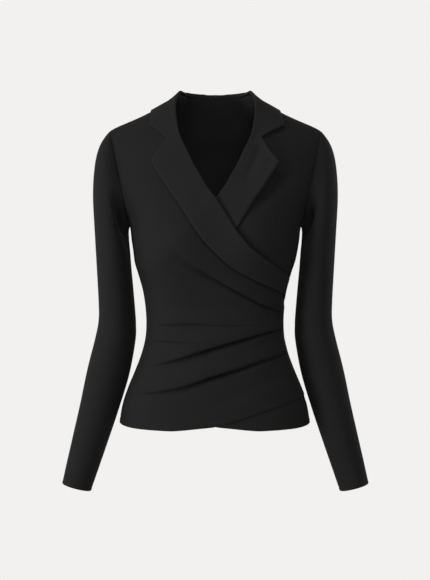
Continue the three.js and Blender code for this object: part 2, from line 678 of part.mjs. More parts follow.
const wrapTop = new THREE.Group();
wrapTop.add(backPanel());
wrapTop.add(frontPanel("front_right", -1, true));
wrapTop.add(frontPanel("front_left", 1, false));
wrapTop.add(sleeve("sleeve_right", -1));
wrapTop.add(sleeve("sleeve_left", 1));
wrapTop.add(collar("collar_lapel_right", -1, true));
wrapTop.add(collar("collar_lapel_left", 1, false));

export default wrapTop;
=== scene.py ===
# A long-sleeved wrap top in black fine-gauge knit, worn form, hollow.
# The panels are laid out as the CAD solids are, in millimetres, on a finer net of points,
# and get their folds, rolled seams, hems and stitches here. Meshes are written in metres.
# The front faces -Y and +X is the left side as worn.
import math

import bmesh
import bpy
import numpy as np
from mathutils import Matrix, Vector


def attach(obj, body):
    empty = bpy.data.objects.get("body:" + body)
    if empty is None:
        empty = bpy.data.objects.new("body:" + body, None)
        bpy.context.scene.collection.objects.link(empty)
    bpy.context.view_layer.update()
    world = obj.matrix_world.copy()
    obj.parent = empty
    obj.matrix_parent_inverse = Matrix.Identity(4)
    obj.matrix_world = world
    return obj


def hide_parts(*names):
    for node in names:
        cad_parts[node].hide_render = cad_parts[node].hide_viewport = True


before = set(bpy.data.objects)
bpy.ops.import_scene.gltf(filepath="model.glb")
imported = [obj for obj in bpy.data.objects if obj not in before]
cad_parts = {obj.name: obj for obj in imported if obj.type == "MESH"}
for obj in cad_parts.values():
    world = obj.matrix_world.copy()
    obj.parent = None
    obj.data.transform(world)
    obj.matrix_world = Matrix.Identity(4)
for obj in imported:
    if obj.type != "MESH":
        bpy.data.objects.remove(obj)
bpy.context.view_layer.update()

# Cloth, in millimetres
KNIT = 1.1  # one layer of the knit
BAND = 1.7  # collar, lapel and band, two layers turned out
BAND_ROOM = 1.6  # what they take up between the layers beside them
SEAM_GAP = 0.3
LAY_GAP = 1.2  # between layers that lie on each other
FIRST_LAYER = 0.9  # middle of the layer next to the form
HEM_TURN = 14  # depth of the turned hem
HEM_TURN_FADE = 2.5
HEM_STITCH = 8  # the stitch line above a hem
CUFF_STITCH = 6
STITCH = {"pitch": 2.9, "long": 2.5, "thick": 0.42, "proud": 0.02}
HEM_SHAPE = {  # pressed groove of the stitch line, soft roll of the edge, faint pucker
    "groove": 0.45, "groove wide": 1.1, "roll": 0.35, "roll by": 2.6,
    "pucker": 0.16, "pitch": 2.3, "drift": 1.7, "drift pitch": 31, "reach": 5}
BEAD = {"Segments": 6, "Rings": 5, "Radius": 0.5}  # one stitch, before it is stretched
EDGE_ROUND = 0.42  # how far an edge swells out, as a share of the wall

# Heights of the main lines
HEM_BACK = -549
UNDERARM = -214
BACK_NECK = 7

# The form by height: z, half width, reach to the front, reach to the back
FORM = np.array([
    (-565, 160.5, 108, 109), (-545, 158.5, 107, 108), (-518, 154, 105, 108),
    (-490, 145, 102, 104), (-460, 132.5, 97, 97), (-432, 122, 91.5, 89),
    (-405, 115.3, 87, 82.5), (-378, 113.5, 85, 79), (-350, 115.2, 86, 79.5),
    (-323, 119.5, 90, 83), (-296, 127, 94, 88), (-269, 135.3, 100, 92),
    (-241, 140.5, 102, 95), (-214, 144, 101, 97), (-190, 153, 98, 98),
    (-150, 171, 91, 98), (-100, 184, 77, 94), (-54, 192, 60, 82),
    (-20, 198, 45, 71), (14, 202, 38, 61), (60, 205, 36, 56),
], float)
SQUARENESS = 2.4
CUP = {"x": 72, "z": -243, "swell": 16, "spread": 44, "side fade": 3}
SHOULDER = np.array([
    (0, 110), (30, 78), (45, 40), (53, 20), (60, 10), (68, 2.5), (78, -5), (91, -12),
    (107, -20.5), (126, -30), (150, -40.5), (165, -47), (178, -54), (190, -64), (205, -90),
], float)
SHOULDER_ROUND = {"front": 110, "back": 95}
ARMHOLE = np.array([
    (-54, 178), (-62, 176.8), (-97, 169), (-130, 161.5), (-155, 156), (-180, 151.5),
    (-200, 147.5), (UNDERARM, 143.5),
], float)
NECK_POINT = 60
SHOULDER_TIP = 178
LEVEL = {"z": -20, "from": 2.2}  # where lines of equal place have become level
PLACE_MM = np.array([200, 100])  # about what one unit of a place measures on the form
PLACE_STEP = 0.004  # for the normals of the form
PLACE_END = 8  # further over than any point lies
HALVINGS, SETTLINGS, SETTLE_SHARE = 30, 40, 0.7  # of the two searches for a point
SEAM_PLANE = 0.2  # so close to the side seams a normal points straight to the side

# Lines on a front in its own coordinates, x positive towards its own armhole
LINES = {
    "wrap": {"seam": -305, "path": [
        (60, 10), (66.5, 0.5), (69.7, -12), (69, -30), (63.7, -62), (53.2, -87), (38.8, -117),
        (20.5, -150), (1.6, -176.5), (-14.2, -200), (-31, -224.3), (-51.6, -248.4),
        (-72.3, -266.5), (-96.2, -284.3), (-116, -297)]},
    "shoulder": {"seam": -325, "path": [
        (178, -54), (130, -98), (85, -152), (40, -215), (0, -256), (-45, -290), (-90, -313)]},
    "underarm": {"seam": -347, "path": [
        (143.5, -214), (110, -236), (60, -262), (0, -292), (-50, -319), (-90, -337)]},
    "bust": {"own": -243, "seam": -366, "path": [
        (104, -251), (79, -260), (50, -276), (9, -300), (-32.4, -324), (-74, -346),
        (-106, -360)]},
    "waist": {"own": -381, "seam": -377, "path": [
        (80, -380.5), (34, -379.5), (0, -381.5), (-66, -379.5)]},
    "small": {"own": -406, "seam": -382, "path": [
        (98, -407.5), (66, -409.5), (34, -409.3), (9, -406), (-32, -397), (-74, -388.5),
        (-104, -383.5)]},
    "high": {"own": -452, "seam": -387, "path": [
        (105, -449.7), (79.5, -445.8), (50, -439), (9, -426.4), (-32.5, -412.4),
        (-74, -397.8), (-104, -389.5)]},
    "low": {"own": -497, "seam": -427, "path": [
        (113, -496), (83, -492.5), (50, -486.4), (9, -473), (-32.4, -459.3), (-74, -443.2),
        (-108, -432)]},
    "hem": {"own": -546, "seam": -500, "path": [
        (137, -552.4), (115, -554), (91.5, -555), (68, -555.3), (25, -551), (0, -548),
        (-35, -538.4), (-60, -530.4), (-90, -520), (-130, -506)]},
}
# From one line to the next: rows of the net on the over front, and on the under front
FRONT_ROWS = [
    ("wrap", "shoulder", 30, 24), ("shoulder", "underarm", 48, 44), ("underarm", "bust", 12, 10),
    ("bust", "waist", 42, 28), ("waist", "small", 20, 10), ("small", "high", 32, 14),
    ("high", "low", 42, 22), ("low", "hem", 38, 28),
]
FRONT_COLUMNS = {"over": 156, "under": 180}
CROWDING = {"front": 0.5, "collar": 0.35}  # of the columns towards both edges
SIDE_FADE = 3  # power by which a side's own outline fades into its panel

# Pleats of the over front. Above each crease line stands a roll of cloth; by own x, from the
# own side to the far seam: its height, its width, how far it hangs over the crease, and how
# deep the cloth is tucked in under it
PLEATS = {
    "bust": np.array([
        (122, 0, 24, 0, 0), (98, 0.2, 24, 0, 0), (74, 1.2, 22, 0, 0), (48, 3.2, 20, 0.3, 1.2),
        (15, 5.2, 16, 2.0, 3.0), (-30, 6.0, 13, 2.8, 3.2), (-75, 5.2, 11, 2.4, 2.8),
        (-110, 4.2, 8, 1.8, 2.2), (-125, 3.4, 7, 1.2, 1.4)], float),
    "waist": np.array([
        (110, 0, 10, 0, 0), (94, 0.9, 10, 0.1, 0.6), (66, 2.6, 10, 0.8, 1.7), (30, 3.0, 10, 1.0, 2.0),
        (0, 3.2, 10, 1.1, 2.2), (-35, 2.6, 10, 0.7, 1.7), (-62, 1.8, 10, 0.3, 1.1),
        (-88, 0, 12, 0, 0)], float),
    "small": np.array([
        (116, 0, 9, 0, 0.2), (98, 1.4, 9, 0.2, 1.0), (66, 2.8, 9, 0.8, 1.8), (40, 2.6, 9, 0.8, 1.8),
        (18, 1.4, 10, 0.2, 1.0), (0, 0, 10, 0, 0.2), (-30, 0, 10, 0, 0)], float),
    "high": np.array([
        (116, 0, 15, 0, 0), (100, 1.6, 15, 0.2, 0.8), (80, 3.8, 16, 1.4, 2.0), (55, 7.0, 17, 3.3, 3.9),
        (26, 10.0, 18, 5.0, 5.4), (0, 10.5, 18, 5.3, 5.6), (-30, 9.0, 15.5, 4.2, 4.7),
        (-70, 6.4, 12, 2.8, 3.4), (-105, 4.6, 9, 1.8, 2.2), (-122, 3.2, 8, 1.0, 1.2)], float),
    "low": np.array([
        (126, 1.2, 14, 0.3, 0.9), (104, 2.8, 15, 0.8, 1.6), (72, 5.0, 16, 2.1, 2.7),
        (40, 8.0, 17, 4.0, 4.5), (9, 10.2, 17.5, 5.3, 5.5), (-16, 9.8, 17, 5.0, 5.2),
        (-45, 7.6, 14.5, 3.6, 3.9), (-85, 5.6, 12, 2.3, 2.7), (-122, 4.2, 9, 1.2, 1.5)], float),
}
# Across a crease, by distance as a share of the roll's width. Above it: shares of the height
# and of the hang. Below it: the share of the tuck, and the rise of the lower lip
ROLL_SHAPE = np.array([
    (0, 0, -0.2), (0.12, 0.16, 0.1), (0.27, 0.58, 0.8), (0.42, 0.88, 1.0), (0.65, 1.0, 0.75),
    (1.0, 0.97, 0.36), (1.5, 0.72, 0.1), (2.2, 0.3, 0), (3.0, 0, 0)], float)
LIP_SHAPE = np.array([
    (0, 1, 0), (0.12, 0.95, 0), (0.3, 0.55, 0.35), (0.5, 0.12, 0.85), (0.75, 0, 1),
    (1.3, 0, 0.7), (2.1, 0, 0.2), (3.0, 0, 0)], float)
LIP = {"bust": 0.08, "waist": 0.3, "small": 0.3, "high": 0.3, "low": 0.3}  # of the roll's height
CREASE_SHIFT = {"by height": 0.75, "shallow": -3.7}  # so that the shade lies on the line
PLEAT_ENDS = 12  # power by which the pleats run out at the side seams
TUCK_TOP = 0.15  # how far a tuck reaches above its crease, of the width of its roll
LIP_SLIDE = {"share": -0.2, "over": 0.5}  # of the hang, below the crease
TUCK_ROOM = {"below": 1.5, "wide": 8.5}  # in the under front

# Collar stations: roll x, z, side, then outer edge x, z, side; side 1 is the back
COLLAR = np.array([
    (0, 12, 1, 0, -38, 1), (18, 12.4, 1, 30, -38, 1), (34, 13.2, 1, 57, -37, 1),
    (47, 13.4, 1, 80, -34, 1), (54, 13, 1, 97, -27, 1), (58, 12.2, 1, 106, -20, 1),
    (64.5, 3, -1, 109, -28, -1), (67.7, -12, -1, 109, -38, -1), (67.5, -22, -1, 108.5, -47, -1),
    (66.8, -32, -1, 99.5, -54, -1), (65.2, -44, -1, 89.5, -62.5, -1), (62, -60, -1, 80, -71, -1),
    (56.5, -75, -1, 92, -89, -1), (47.5, -94, -1, 106.5, -109, -1),
    (37.2, -115.7, -1, 96, -126.5, -1), (28, -132, -1, 84, -145, -1),
    (18.9, -148.5, -1, 71.8, -163.4, -1), (9, -163, -1, 61, -178.5, -1),
    (0, -175, -1, 51.8, -193.5, -1), (-15.8, -200.2, -1, 35.2, -221.5, -1),
    (-32.2, -225.5, -1, 17.1, -244.5, -1), (-52.7, -250.3, -1, -10.9, -270, -1),
    (-73.4, -267.4, -1, -37.3, -289.7, -1), (-97.2, -285.6, -1, -72, -308.8, -1),
    (-114, -297.6, -1, -105, -325.4, -1),
], float)
UNDER_EDGE = {  # where the left collar's edge differs, by row: x, z
    6: (110.5, -28.5), 7: (112.5, -38.5), 8: (114.5, -48.5), 9: (103, -54), 10: (88, -61.5),
    11: (76, -69), 12: (88, -90), 13: (105.5, -110.5)}
BAND_SEAM = {"roll": -306, "edge": -338}
# How far the far side seam presses the layers in: depth, foot and its fade, top and its fade
SEAM_PRESS = {"under": (1.8, -514, 14, -292, 20), "band": (2.4, -354, 16, -286, 12)}
SEAM_PRESS_OVER = 1.5
PRESSED_FROM = 0.93  # of the half width
COLLAR_POINT, NOTCH, LAPEL_POINT = 8, 11, 13  # rows of the table above
STATION_STEPS = 8
BAND_FLATTENS = 21.5  # from this row on it is pressed flat towards the side seam
UNDER_COLLAR_END = 20
STAND = {"back": 5.7, "front": 0.9}
ROLL = {"top": 1.2, "start": 0.2, "room": 0.7}
STAND_COLUMNS, ROLL_COLUMNS, FALL_COLUMNS = 4, 10, 26

# Sleeve sections from the armhole to the cuff: outer x, z, inner x, z, middle, half depth
SLEEVE = np.array([
    (178, -54, 145.6, -214, 2, 48), (184, -59, 146.6, -219, 2, 50),
    (190, -66.5, 146.9, -223.5, 2, 52), (196.5, -79, 146.7, -229, 2, 54.5),
    (202, -97, 146.4, -236, 2, 57), (205.4, -119, 146, -244, 2, 58.5),
    (207.4, -146, 145.3, -254, 3, 59.5), (207.4, -175, 144.6, -266, 3, 60),
    (205, -220, 143.4, -286, 4, 59), (201.5, -282, 140.8, -314, 5, 55),
    (198.2, -345, 137.2, -356, 6, 50), (198.4, -375, 135.7, -380, 6, 48.5),
    (204, -405, 136.5, -409, 4, 48), (217, -458, 146.5, -465, -3, 45.5),
    (228, -513, 163, -521, -11, 42), (240, -568, 181.5, -577, -19, 38),
    (251.5, -620, 200, -631, -26, 35), (257.3, -648, 210, -660.6, -29, 34),
], float)
SLEEVE_RINGS = 170
ARMHOLE_STEPS = 60
SLEEVE_CAP_ROWS = 3
SLEEVE_GAP = {"top": 0.35, "under": 0.9}
SLEEVE_RADIUS = 56  # turns the angles of its creases into millimetres
ARMHOLE_FADE = 6  # creases and the seam under the arm begin this far from the armhole

# Back
BACK_ROWS = (56, 118)  # above and below the underarm
BACK_HALF_COLUMNS = 70
NECK_SHARE = 6 / 14  # of a half's columns, for the neck
NECK_CURVE = {"spread": 0.85, "rise": 6}

# Camera and studio, in metres: level, square on, at the height of the photograph's middle
CAMERA = {"x": -0.0007, "y": -3.4, "z": -0.323, "tall": 0.986}
BACKDROP = {"radius": 9, "colour": (0.886, 0.878, 0.863)}
FLOOR = {"radius": 1.15, "z": -1.0, "corners": 64, "colour": (0.5, 0.5, 0.49)}
LIGHT_AIM = (0, 0, -0.3)
LIGHTS = [  # name, place, size, watts
    ("left high", (-2.4, -2.0, 1.3), 1.0, 7), ("left", (-2.6, -1.7, -0.35), 0.9, 34),
    ("left side", (-3.0, 0.2, 0.4), 1.2, 15), ("front", (0.2, -3.3, 0.3), 1.2, 20),
    ("top front", (-0.5, -1.9, 2.0), 1.2, 8), ("right back", (2.2, 1.8, 1.0), 1.2, 12),
]
STUDIO_GREY = 0.27

# Looks: a black and the strength of its bump for each knit, wale and course in metres
# The collar's black is the body's knit made lighter: a painted highlight for the brighter light on the
# collar.
KNITS = {"knit": ("black fine knit", 0.0160, 0.35), "collar_knit": ("black knit lightened as painted highlight", 0.0190, 0.3)}
WALE, COURSE, WALE_LEAN = 0.0011, 0.0009, 0.6
FUZZ = {"Scale": 900.0, "Detail": 3.0}
CLOUD = {"Scale": 38.0, "Detail": 4.0, "Roughness": 0.6}
KNIT_BUMP = {"stitch": 0.5, "fuzz": 0.7, "cloud": 0.4, "reach": 0.0004}
KNIT_TONE = {"least": 0.86, "cloud": 0.2, "stitch": 0.05, "fuzz": 0.12}
KNIT_ROUGH = {"least": 0.86, "cloud": 0.12}
KNIT_SHADER = {"Specular IOR Level": 0.16, "Sheen Weight": 0.03, "Sheen Roughness": 0.35}
THREAD = {"black": 0.014, "twist": 2500.0, "least": 0.8, "by twist": 0.4}
THREAD_SHADER = {"Roughness": 0.6, "Specular IOR Level": 0.3}


# Numbers
def mix(a, b, t):
    return a + (b - a) * t


def ease(t):
    t = np.clip(t, 0, 1)
    return t * t * (3 - 2 * t)


def bell(distance, wide):
    return np.exp(-(distance / wide) ** 2)


def spaced(count, crowding):
    """Steps from 0 to 1, drawn together towards both ends."""
    t = np.linspace(0, 1, count + 1)
    return t - crowding * np.sin(2 * math.pi * t) / (2 * math.pi)


def smooth(table, column, at):
    """A value between the rows of a table, on a smooth curve through them."""
    keys, values = table[:, 0], table[:, column]
    if keys[0] > keys[-1]:
        keys, values = keys[::-1], values[::-1]
    before = np.concatenate([keys[:1], keys[:-1]]), np.concatenate([values[:1], values[:-1]])
    after = np.concatenate([keys[1:], keys[-1:]]), np.concatenate([values[1:], values[-1:]])
    slope = (after[1] - before[1]) / (after[0] - before[0])
    i = np.clip(np.searchsorted(keys, at, side="right") - 1, 0, len(keys) - 2)
    step = keys[i + 1] - keys[i]
    t = np.clip((at - keys[i]) / step, 0, 1)
    bend = (t - 1) ** 2 * t * slope[i] * step + t * t * (t - 1) * slope[i + 1] * step
    return mix(values[i], values[i + 1], t * t * (3 - 2 * t)) + bend


# The form that the pieces are laid out on
def half_width(z):
    return smooth(FORM, 1, z)


def shoulder_z(x):
    return smooth(SHOULDER, 1, np.abs(x))


def round_of(side):
    return np.where(side < 0, SHOULDER_ROUND["front"], SHOULDER_ROUND["back"])


def reach(x, z, side):
    """How far the form's surface lies in front of or behind the seams."""
    across = np.minimum(np.abs(x) / half_width(z), 1)
    below = np.maximum(shoulder_z(x) - z, 0) / round_of(side)
    rounding = np.where(below >= 1, 1, np.sqrt(np.maximum(1 - (1 - below) ** 2, 0)))
    section = (1 - across ** SQUARENESS) ** (1 / SQUARENESS)
    swell = 0
    for way in (-1, 1):
        away = (x - way * CUP["x"]) ** 2 + (z - CUP["z"]) ** 2
        swell = swell + CUP["swell"] * np.exp(-away / (2 * CUP["spread"] ** 2))
    swell = swell * np.minimum(1, CUP["side fade"] * (1 - across))
    base = np.where(side < 0, smooth(FORM, 2, z), smooth(FORM, 3, z))
    return base * section * rounding + np.where(side < 0, swell, 0)


def height_of(x, over, side):
    below = np.where(over < math.pi / 2, 1 - np.cos(over), 1 + over - math.pi / 2)
    return mix(shoulder_z(x), LEVEL["z"], ease(over / LEVEL["from"])) - below * round_of(side)


def place_of(x, z, side):
    """A point of the front or back as a place: share of the way round, and how far over."""
    x, z, side = np.broadcast_arrays(np.asarray(x, float), np.asarray(z, float), side)
    around = np.arcsin(np.clip(x / half_width(z), -1, 1)) * 2 / math.pi
    low, high = np.zeros_like(x), np.full_like(x, PLACE_END)
    for _ in range(HALVINGS):
        middle = (low + high) / 2
        above = height_of(x, middle, side) > z
        low, high = np.where(above, middle, low), np.where(above, high, middle)
    return np.stack([around, side * high], -1)


def seam_over(z):
    """How far over the side seams lie at a height, seen from the front."""
    return place_of(half_width(z), z, -1)[..., 1]


def on_form(place):
    """The point of the form's surface at each place."""
    around, over = place[..., 0], place[..., 1]
    side = np.where(over < 0, -1, 1)
    z = np.full(around.shape, float(UNDERARM))
    for _ in range(SETTLINGS):
        x = half_width(z) * np.sin(around * math.pi / 2)
        z = mix(z, height_of(x, np.abs(over), side), SETTLE_SHARE)
    return np.stack([x, side * reach(x, z, side), z], -1)


def unit(v):
    return v / np.maximum(np.linalg.norm(v, axis=-1, keepdims=True), 1e-9)


def form_normal(place):
    """The direction straight out of the form at each place."""
    def shifted(around, over):
        moved = place + np.array([around, over])
        moved[..., 0] = np.clip(moved[..., 0], -1, 1)
        return on_form(moved)
    across = shifted(PLACE_STEP, 0) - shifted(-PLACE_STEP, 0)
    down = shifted(0, PLACE_STEP) - shifted(0, -PLACE_STEP)
    out = np.cross(across, down)
    out[..., 1] = np.where(np.abs(place[..., 0]) == 1, 0, out[..., 1])
    return unit(out)


def line_through(places):
    """A smooth line through places, from 0 to 1."""
    step = np.diff(places, axis=0) * PLACE_MM
    at = np.concatenate([[0], np.cumsum(np.hypot(step[:, 0], step[:, 1]))])
    table = np.column_stack([at, places])
    return lambda u: np.stack([smooth(table, k, u * at[-1]) for k in (1, 2)], -1)


def net_normals(net, closed=False):
    """Unit normals and the directions down the columns of a net of points."""
    if closed:
        along = np.roll(net, -1, 1) - np.roll(net, 1, 1)
    else:
        along = np.empty_like(net)
        along[:, 1:-1] = net[:, 2:] - net[:, :-2]
        along[:, 0], along[:, -1] = net[:, 1] - net[:, 0], net[:, -1] - net[:, -2]
    down = np.empty_like(net)
    down[1:-1] = net[2:] - net[:-2]
    down[0], down[-1] = net[1] - net[0], net[-1] - net[-2]
    out = np.cross(along, down)
    out[..., 1] = np.where(np.abs(net[..., 1]) < SEAM_PLANE, 0, out[..., 1])
    return unit(out), unit(down)


def along_columns(net):
    """Distance down each column from its first point."""
    step = np.linalg.norm(np.diff(net, axis=0), axis=-1)
    return np.concatenate([np.zeros((1, net.shape[1])), np.cumsum(step, axis=0)])


def along_rows(net):
    step = np.linalg.norm(np.diff(net, axis=1), axis=-1)
    return np.concatenate([np.zeros((net.shape[0], 1)), np.cumsum(step, axis=1)], axis=1)


# Creases given one by one: each is a run of stations (x, z, depth, width), and the share of its
# depth that a soft ridge beside it has, on the side given by the sign
RIDGE = {"at": 1.9, "wide": 1.1}  # in widths of the crease


def crease_lift(x, z, creases):
    total = np.zeros_like(x)
    for run, ridge in creases:
        rows = np.array(run, float)
        best = np.full(x.shape, 1e9)
        signed, depth, width = np.zeros_like(x), np.zeros_like(x), np.ones_like(x)
        for a, b in zip(rows[:-1], rows[1:]):
            ux, uz = b[0] - a[0], b[1] - a[1]
            t = np.clip(((x - a[0]) * ux + (z - a[1]) * uz) / (ux * ux + uz * uz), 0, 1)
            dx, dz = x - a[0] - t * ux, z - a[1] - t * uz
            away = np.hypot(dx, dz)
            nearer = away < best
            best = np.where(nearer, away, best)
            signed = np.where(nearer, np.sign(ux * dz - uz * dx) * away, signed)
            depth = np.where(nearer, mix(a[2], b[2], t), depth)
            width = np.where(nearer, mix(a[3], b[3], t), width)
        offset = signed * np.sign(ridge) / width
        beside = abs(ridge) * bell(offset - RIDGE["at"], RIDGE["wide"])
        total = total + depth * (beside - bell(signed, width))
    return total


def seam_dip(distance, deep=0.45, wide=1.3):
    return -deep * bell(distance, wide)


def hem_shape(from_hem, across, stitch):
    """The pressed stitch line above a hem and the slight roll of its edge."""
    from_stitch = from_hem - stitch
    groove = HEM_SHAPE["groove"] * bell(from_stitch, HEM_SHAPE["groove wide"])
    roll = HEM_SHAPE["roll"] * bell(from_hem - stitch / 2, stitch / HEM_SHAPE["roll by"])
    drift = HEM_SHAPE["drift"] * np.sin(across / HEM_SHAPE["drift pitch"])
    pucker = HEM_SHAPE["pucker"] * np.sin(across / HEM_SHAPE["pitch"] + drift)
    return roll - groove + pucker * bell(from_stitch, HEM_SHAPE["reach"])


def panel_edges(form):
    """The lift at a panel's side seams and hem, and the distances from its top and its hem."""
    across, from_top = along_rows(form), along_columns(form)
    from_hem = from_top[-1:] - from_top
    lift = seam_dip(across) + seam_dip(across[:, -1:] - across)
    return lift + hem_shape(from_hem, across, HEM_STITCH), from_top, from_hem


def hem_wall(from_hem):
    """How far the inside lies from the middle of the cloth, further where a hem is turned."""
    return KNIT / 2 + KNIT * ease((HEM_TURN - from_hem) / HEM_TURN_FADE)


def turned_round(*nets):
    """The same with the columns in the other order, for a piece on the other side."""
    return (net[:, ::-1] for net in nets)


# Panels
stitch_lines = []


def add_stitch_line(net, from_edge, distance, closed=False):
    """Keeps the line on a piece's outside that lies that far from its edge, for the stitches."""
    out, _ = net_normals(net, closed)
    surface = net + out * (KNIT / 2 + STITCH["proud"])
    column = np.arange(net.shape[1])
    row = np.argmax(from_edge < distance, axis=0)
    near, far = from_edge[row, column], from_edge[row - 1, column]
    share = (distance - near) / (far - near)
    line = mix(surface[row, column], surface[row - 1, column], share[:, None])
    stitch_lines.append((line, closed))


def armhole_stops(even):
    z = mix(ARMHOLE[0, 0], UNDERARM, (1 - np.cos(math.pi * even)) / 2)
    return smooth(ARMHOLE, 1, z), z


def front_line(name):
    line = LINES[name]
    path = np.array(line["path"], float)
    places = [place_of(path[:, 0], path[:, 1], -1)]
    if "own" in line:
        places.insert(0, np.array([[1, seam_over(line["own"])]]))
    places.append(np.array([[-1, seam_over(line["seam"])]]))
    places = np.concatenate(places)
    if name in ("wrap", "shoulder"):
        places[0, 1] = 0
    return line_through(places)


def own_stop(start, end, even, part):
    """Where rows end at the front's own side: on the shoulder, armhole or side seam."""
    if start == "wrap":
        x = mix(NECK_POINT, SHOULDER_TIP, part)
        place = place_of(x, shoulder_z(x), -1)
        place[..., 1] = 0
        return place
    if start == "shoulder":
        x, z = armhole_stops(even)
        place = place_of(x, z, -1)
        place[..., 0] = np.where(even == 1, 1, place[..., 0])
        return place
    top = UNDERARM if start == "underarm" else LINES[start]["own"]
    z = mix(top, LINES[end]["own"], part)
    over = seam_over(z)
    return np.stack([np.ones_like(over), over], -1)


def front_places(over):
    u = spaced(FRONT_COLUMNS["over" if over else "under"], CROWDING["front"])[None, :]
    bands = []
    for number, (start, end, rows_over, rows_under) in enumerate(FRONT_ROWS):
        rows = rows_over if over else rows_under
        even = np.linspace(0, 1, rows + 1)[0 if number == 0 else 1:, None]
        part = even if number < 2 else (1 - np.cos(math.pi * even)) / 2
        first, last = front_line(start), front_line(end)
        off = own_stop(start, end, even, part) - mix(first(0 * part), last(0 * part), part[..., None])
        both = mix(first(u + 0 * part), last(u + 0 * part), part[..., None])
        bands.append(both + off * ((1 - u) ** SIDE_FADE)[..., None])
    return np.concatenate(bands)


# Where the over front lies on the under front, from this far above its edge, and on its lapel
UNDER_FRONT = {"above": 45, "fade": 30}
HIDDEN_LAPEL = {"x": -6, "z": -205, "tall": 0.8, "reach": 95, "fade": 55}
WRAP_ROWS = np.array([(-x, z) for x, z in LINES["wrap"]["path"][3:]], float)


def layer_lift(x, z):
    """How much further out the over front lies: on the under front and its lapel."""
    wrap_z = smooth(WRAP_ROWS, 1, np.minimum(x, WRAP_ROWS[-1, 0]))
    wrap_z = np.where(x < WRAP_ROWS[0, 0], 0, wrap_z)
    covers = ease((wrap_z + UNDER_FRONT["above"] - z) / UNDER_FRONT["fade"])
    away = np.hypot(x - HIDDEN_LAPEL["x"], (z - HIDDEN_LAPEL["z"]) * HIDDEN_LAPEL["tall"])
    over_lapel = ease((HIDDEN_LAPEL["reach"] - away) / HIDDEN_LAPEL["fade"])
    return covers * (KNIT + LAY_GAP) + over_lapel * (BAND_ROOM + LAY_GAP)


def crease_line(name):
    """The line's heights by own x, from seam to seam."""
    line = LINES[name]
    own = (float(half_width(line["own"])), line["own"])
    seam = (-float(half_width(line["seam"])), line["seam"])
    return np.array([own, *line["path"], seam], float)


def pleat_fade(x, z):
    """1 over the front and 0 at its side seams, where the pleats run out."""
    return 1 - np.clip(np.abs(x) / half_width(z), 0, 1) ** PLEAT_ENDS


def above_crease(name, tall, x, z):
    shift = CREASE_SHIFT["by height"] * tall + CREASE_SHIFT["shallow"]
    return z - smooth(crease_line(name), 1, x) - shift


def pleat_shape(x, z):
    """How far the cloth stands out in its rolls and is tucked in, and how far it is moved down."""
    fade = pleat_fade(x, z)
    lift, tucked, slide = np.zeros((3, *x.shape))
    for name, sizes in PLEATS.items():
        tall, wide, hang, tuck = (smooth(sizes, k, x) for k in (1, 2, 3, 4))
        above = above_crease(name, tall, x, z)
        tall, hang, tuck = tall * fade, hang * fade, tuck * fade
        part, under = np.maximum(above, 0) / wide, np.maximum(-above, 0) / wide
        lip = LIP[name] * tall * smooth(LIP_SHAPE, 2, under)
        roll = np.where(above > 0, tall * smooth(ROLL_SHAPE, 1, part), lip)
        lift = (lift ** 3 + np.maximum(roll, 0) ** 3) ** (1 / 3)
        tucked = tucked + tuck * np.where(
            above > 0, bell(part, TUCK_TOP), smooth(LIP_SHAPE, 1, under))
        below = LIP_SLIDE["share"] * (1 - ease(under / LIP_SLIDE["over"]))
        slide = slide + hang * np.where(above > 0, smooth(ROLL_SHAPE, 2, part), below)
    return lift, tucked, slide


def tuck_room(x, z):
    """How far the under front makes way for the tucks over it, in the over front's x."""
    room = np.zeros_like(x)
    for name, sizes in PLEATS.items():
        above = above_crease(name, smooth(sizes, 1, x), x, z)
        room = room + smooth(sizes, 4, x) * bell(above + TUCK_ROOM["below"], TUCK_ROOM["wide"])
    return room * pleat_fade(x, z)


def caught(x, z):
    """How close to the side seam on the far side, from 0 to 1."""
    return ease((-x / half_width(z) - PRESSED_FROM) / (1 - PRESSED_FROM))


def press(name, z):
    deep, foot, foot_fade, top, top_fade = SEAM_PRESS[name]
    return deep * ease((z - foot) / foot_fade) * ease((top - z) / top_fade)


def over_lift(x, z):
    lift, tucked, _ = pleat_shape(x, z)
    pressed = (SEAM_PRESS_OVER + press("band", z)) * caught(x, z)
    return FIRST_LAYER + layer_lift(x, z) + lift - tucked - pressed


# Soft creases in each front's own coordinates
BUST_TROUGH = [
    (124, -240, 0, 16), (104, -247.5, 2.2, 15), (84, -257, 3.6, 12.5), (62, -270, 4.6, 10),
    (40, -284, 4.0, 8), (12, -300.5, 2.0, 7), (-16, -316, 0, 7)]
OVER_CREASES = [
    (BUST_TROUGH, 0.1),
    ([(40, -258, 0, 12), (20, -276, 1.2, 12), (-10, -297, 1.0, 10), (-40, -312, 0, 10)], 0.5),
    ([(100, -420, 0, 8), (70, -428, 0.9, 8), (30, -424, 0, 8)], -0.4),
    ([(-20, -345, 0, 7), (-60, -358, 0.8, 7), (-100, -368, 0, 6)], 0.5),
    ([(-10, -440, 0, 7), (-50, -428, 1.0, 7), (-100, -408, 0.8, 6), (-118, -402, 0, 6)], 0.5),
    ([(40, -520, 0, 9), (-10, -508, 0.9, 9), (-70, -484, 1.0, 8), (-120, -462, 0, 8)], 0.4),
    ([(106, -110, 0, 3), (84, -146, 0.5, 3), (61, -179.5, 0.9, 3), (35.2, -222.5, 1.2, 3),
      (17, -246, 1.4, 3), (-11, -271.5, 1.6, 3), (-37.5, -291.2, 1.8, 3), (-72, -310.3, 2.0, 3),
      (-105, -326.9, 1.6, 3), (-126, -335, 1.0, 3)], 0),
]
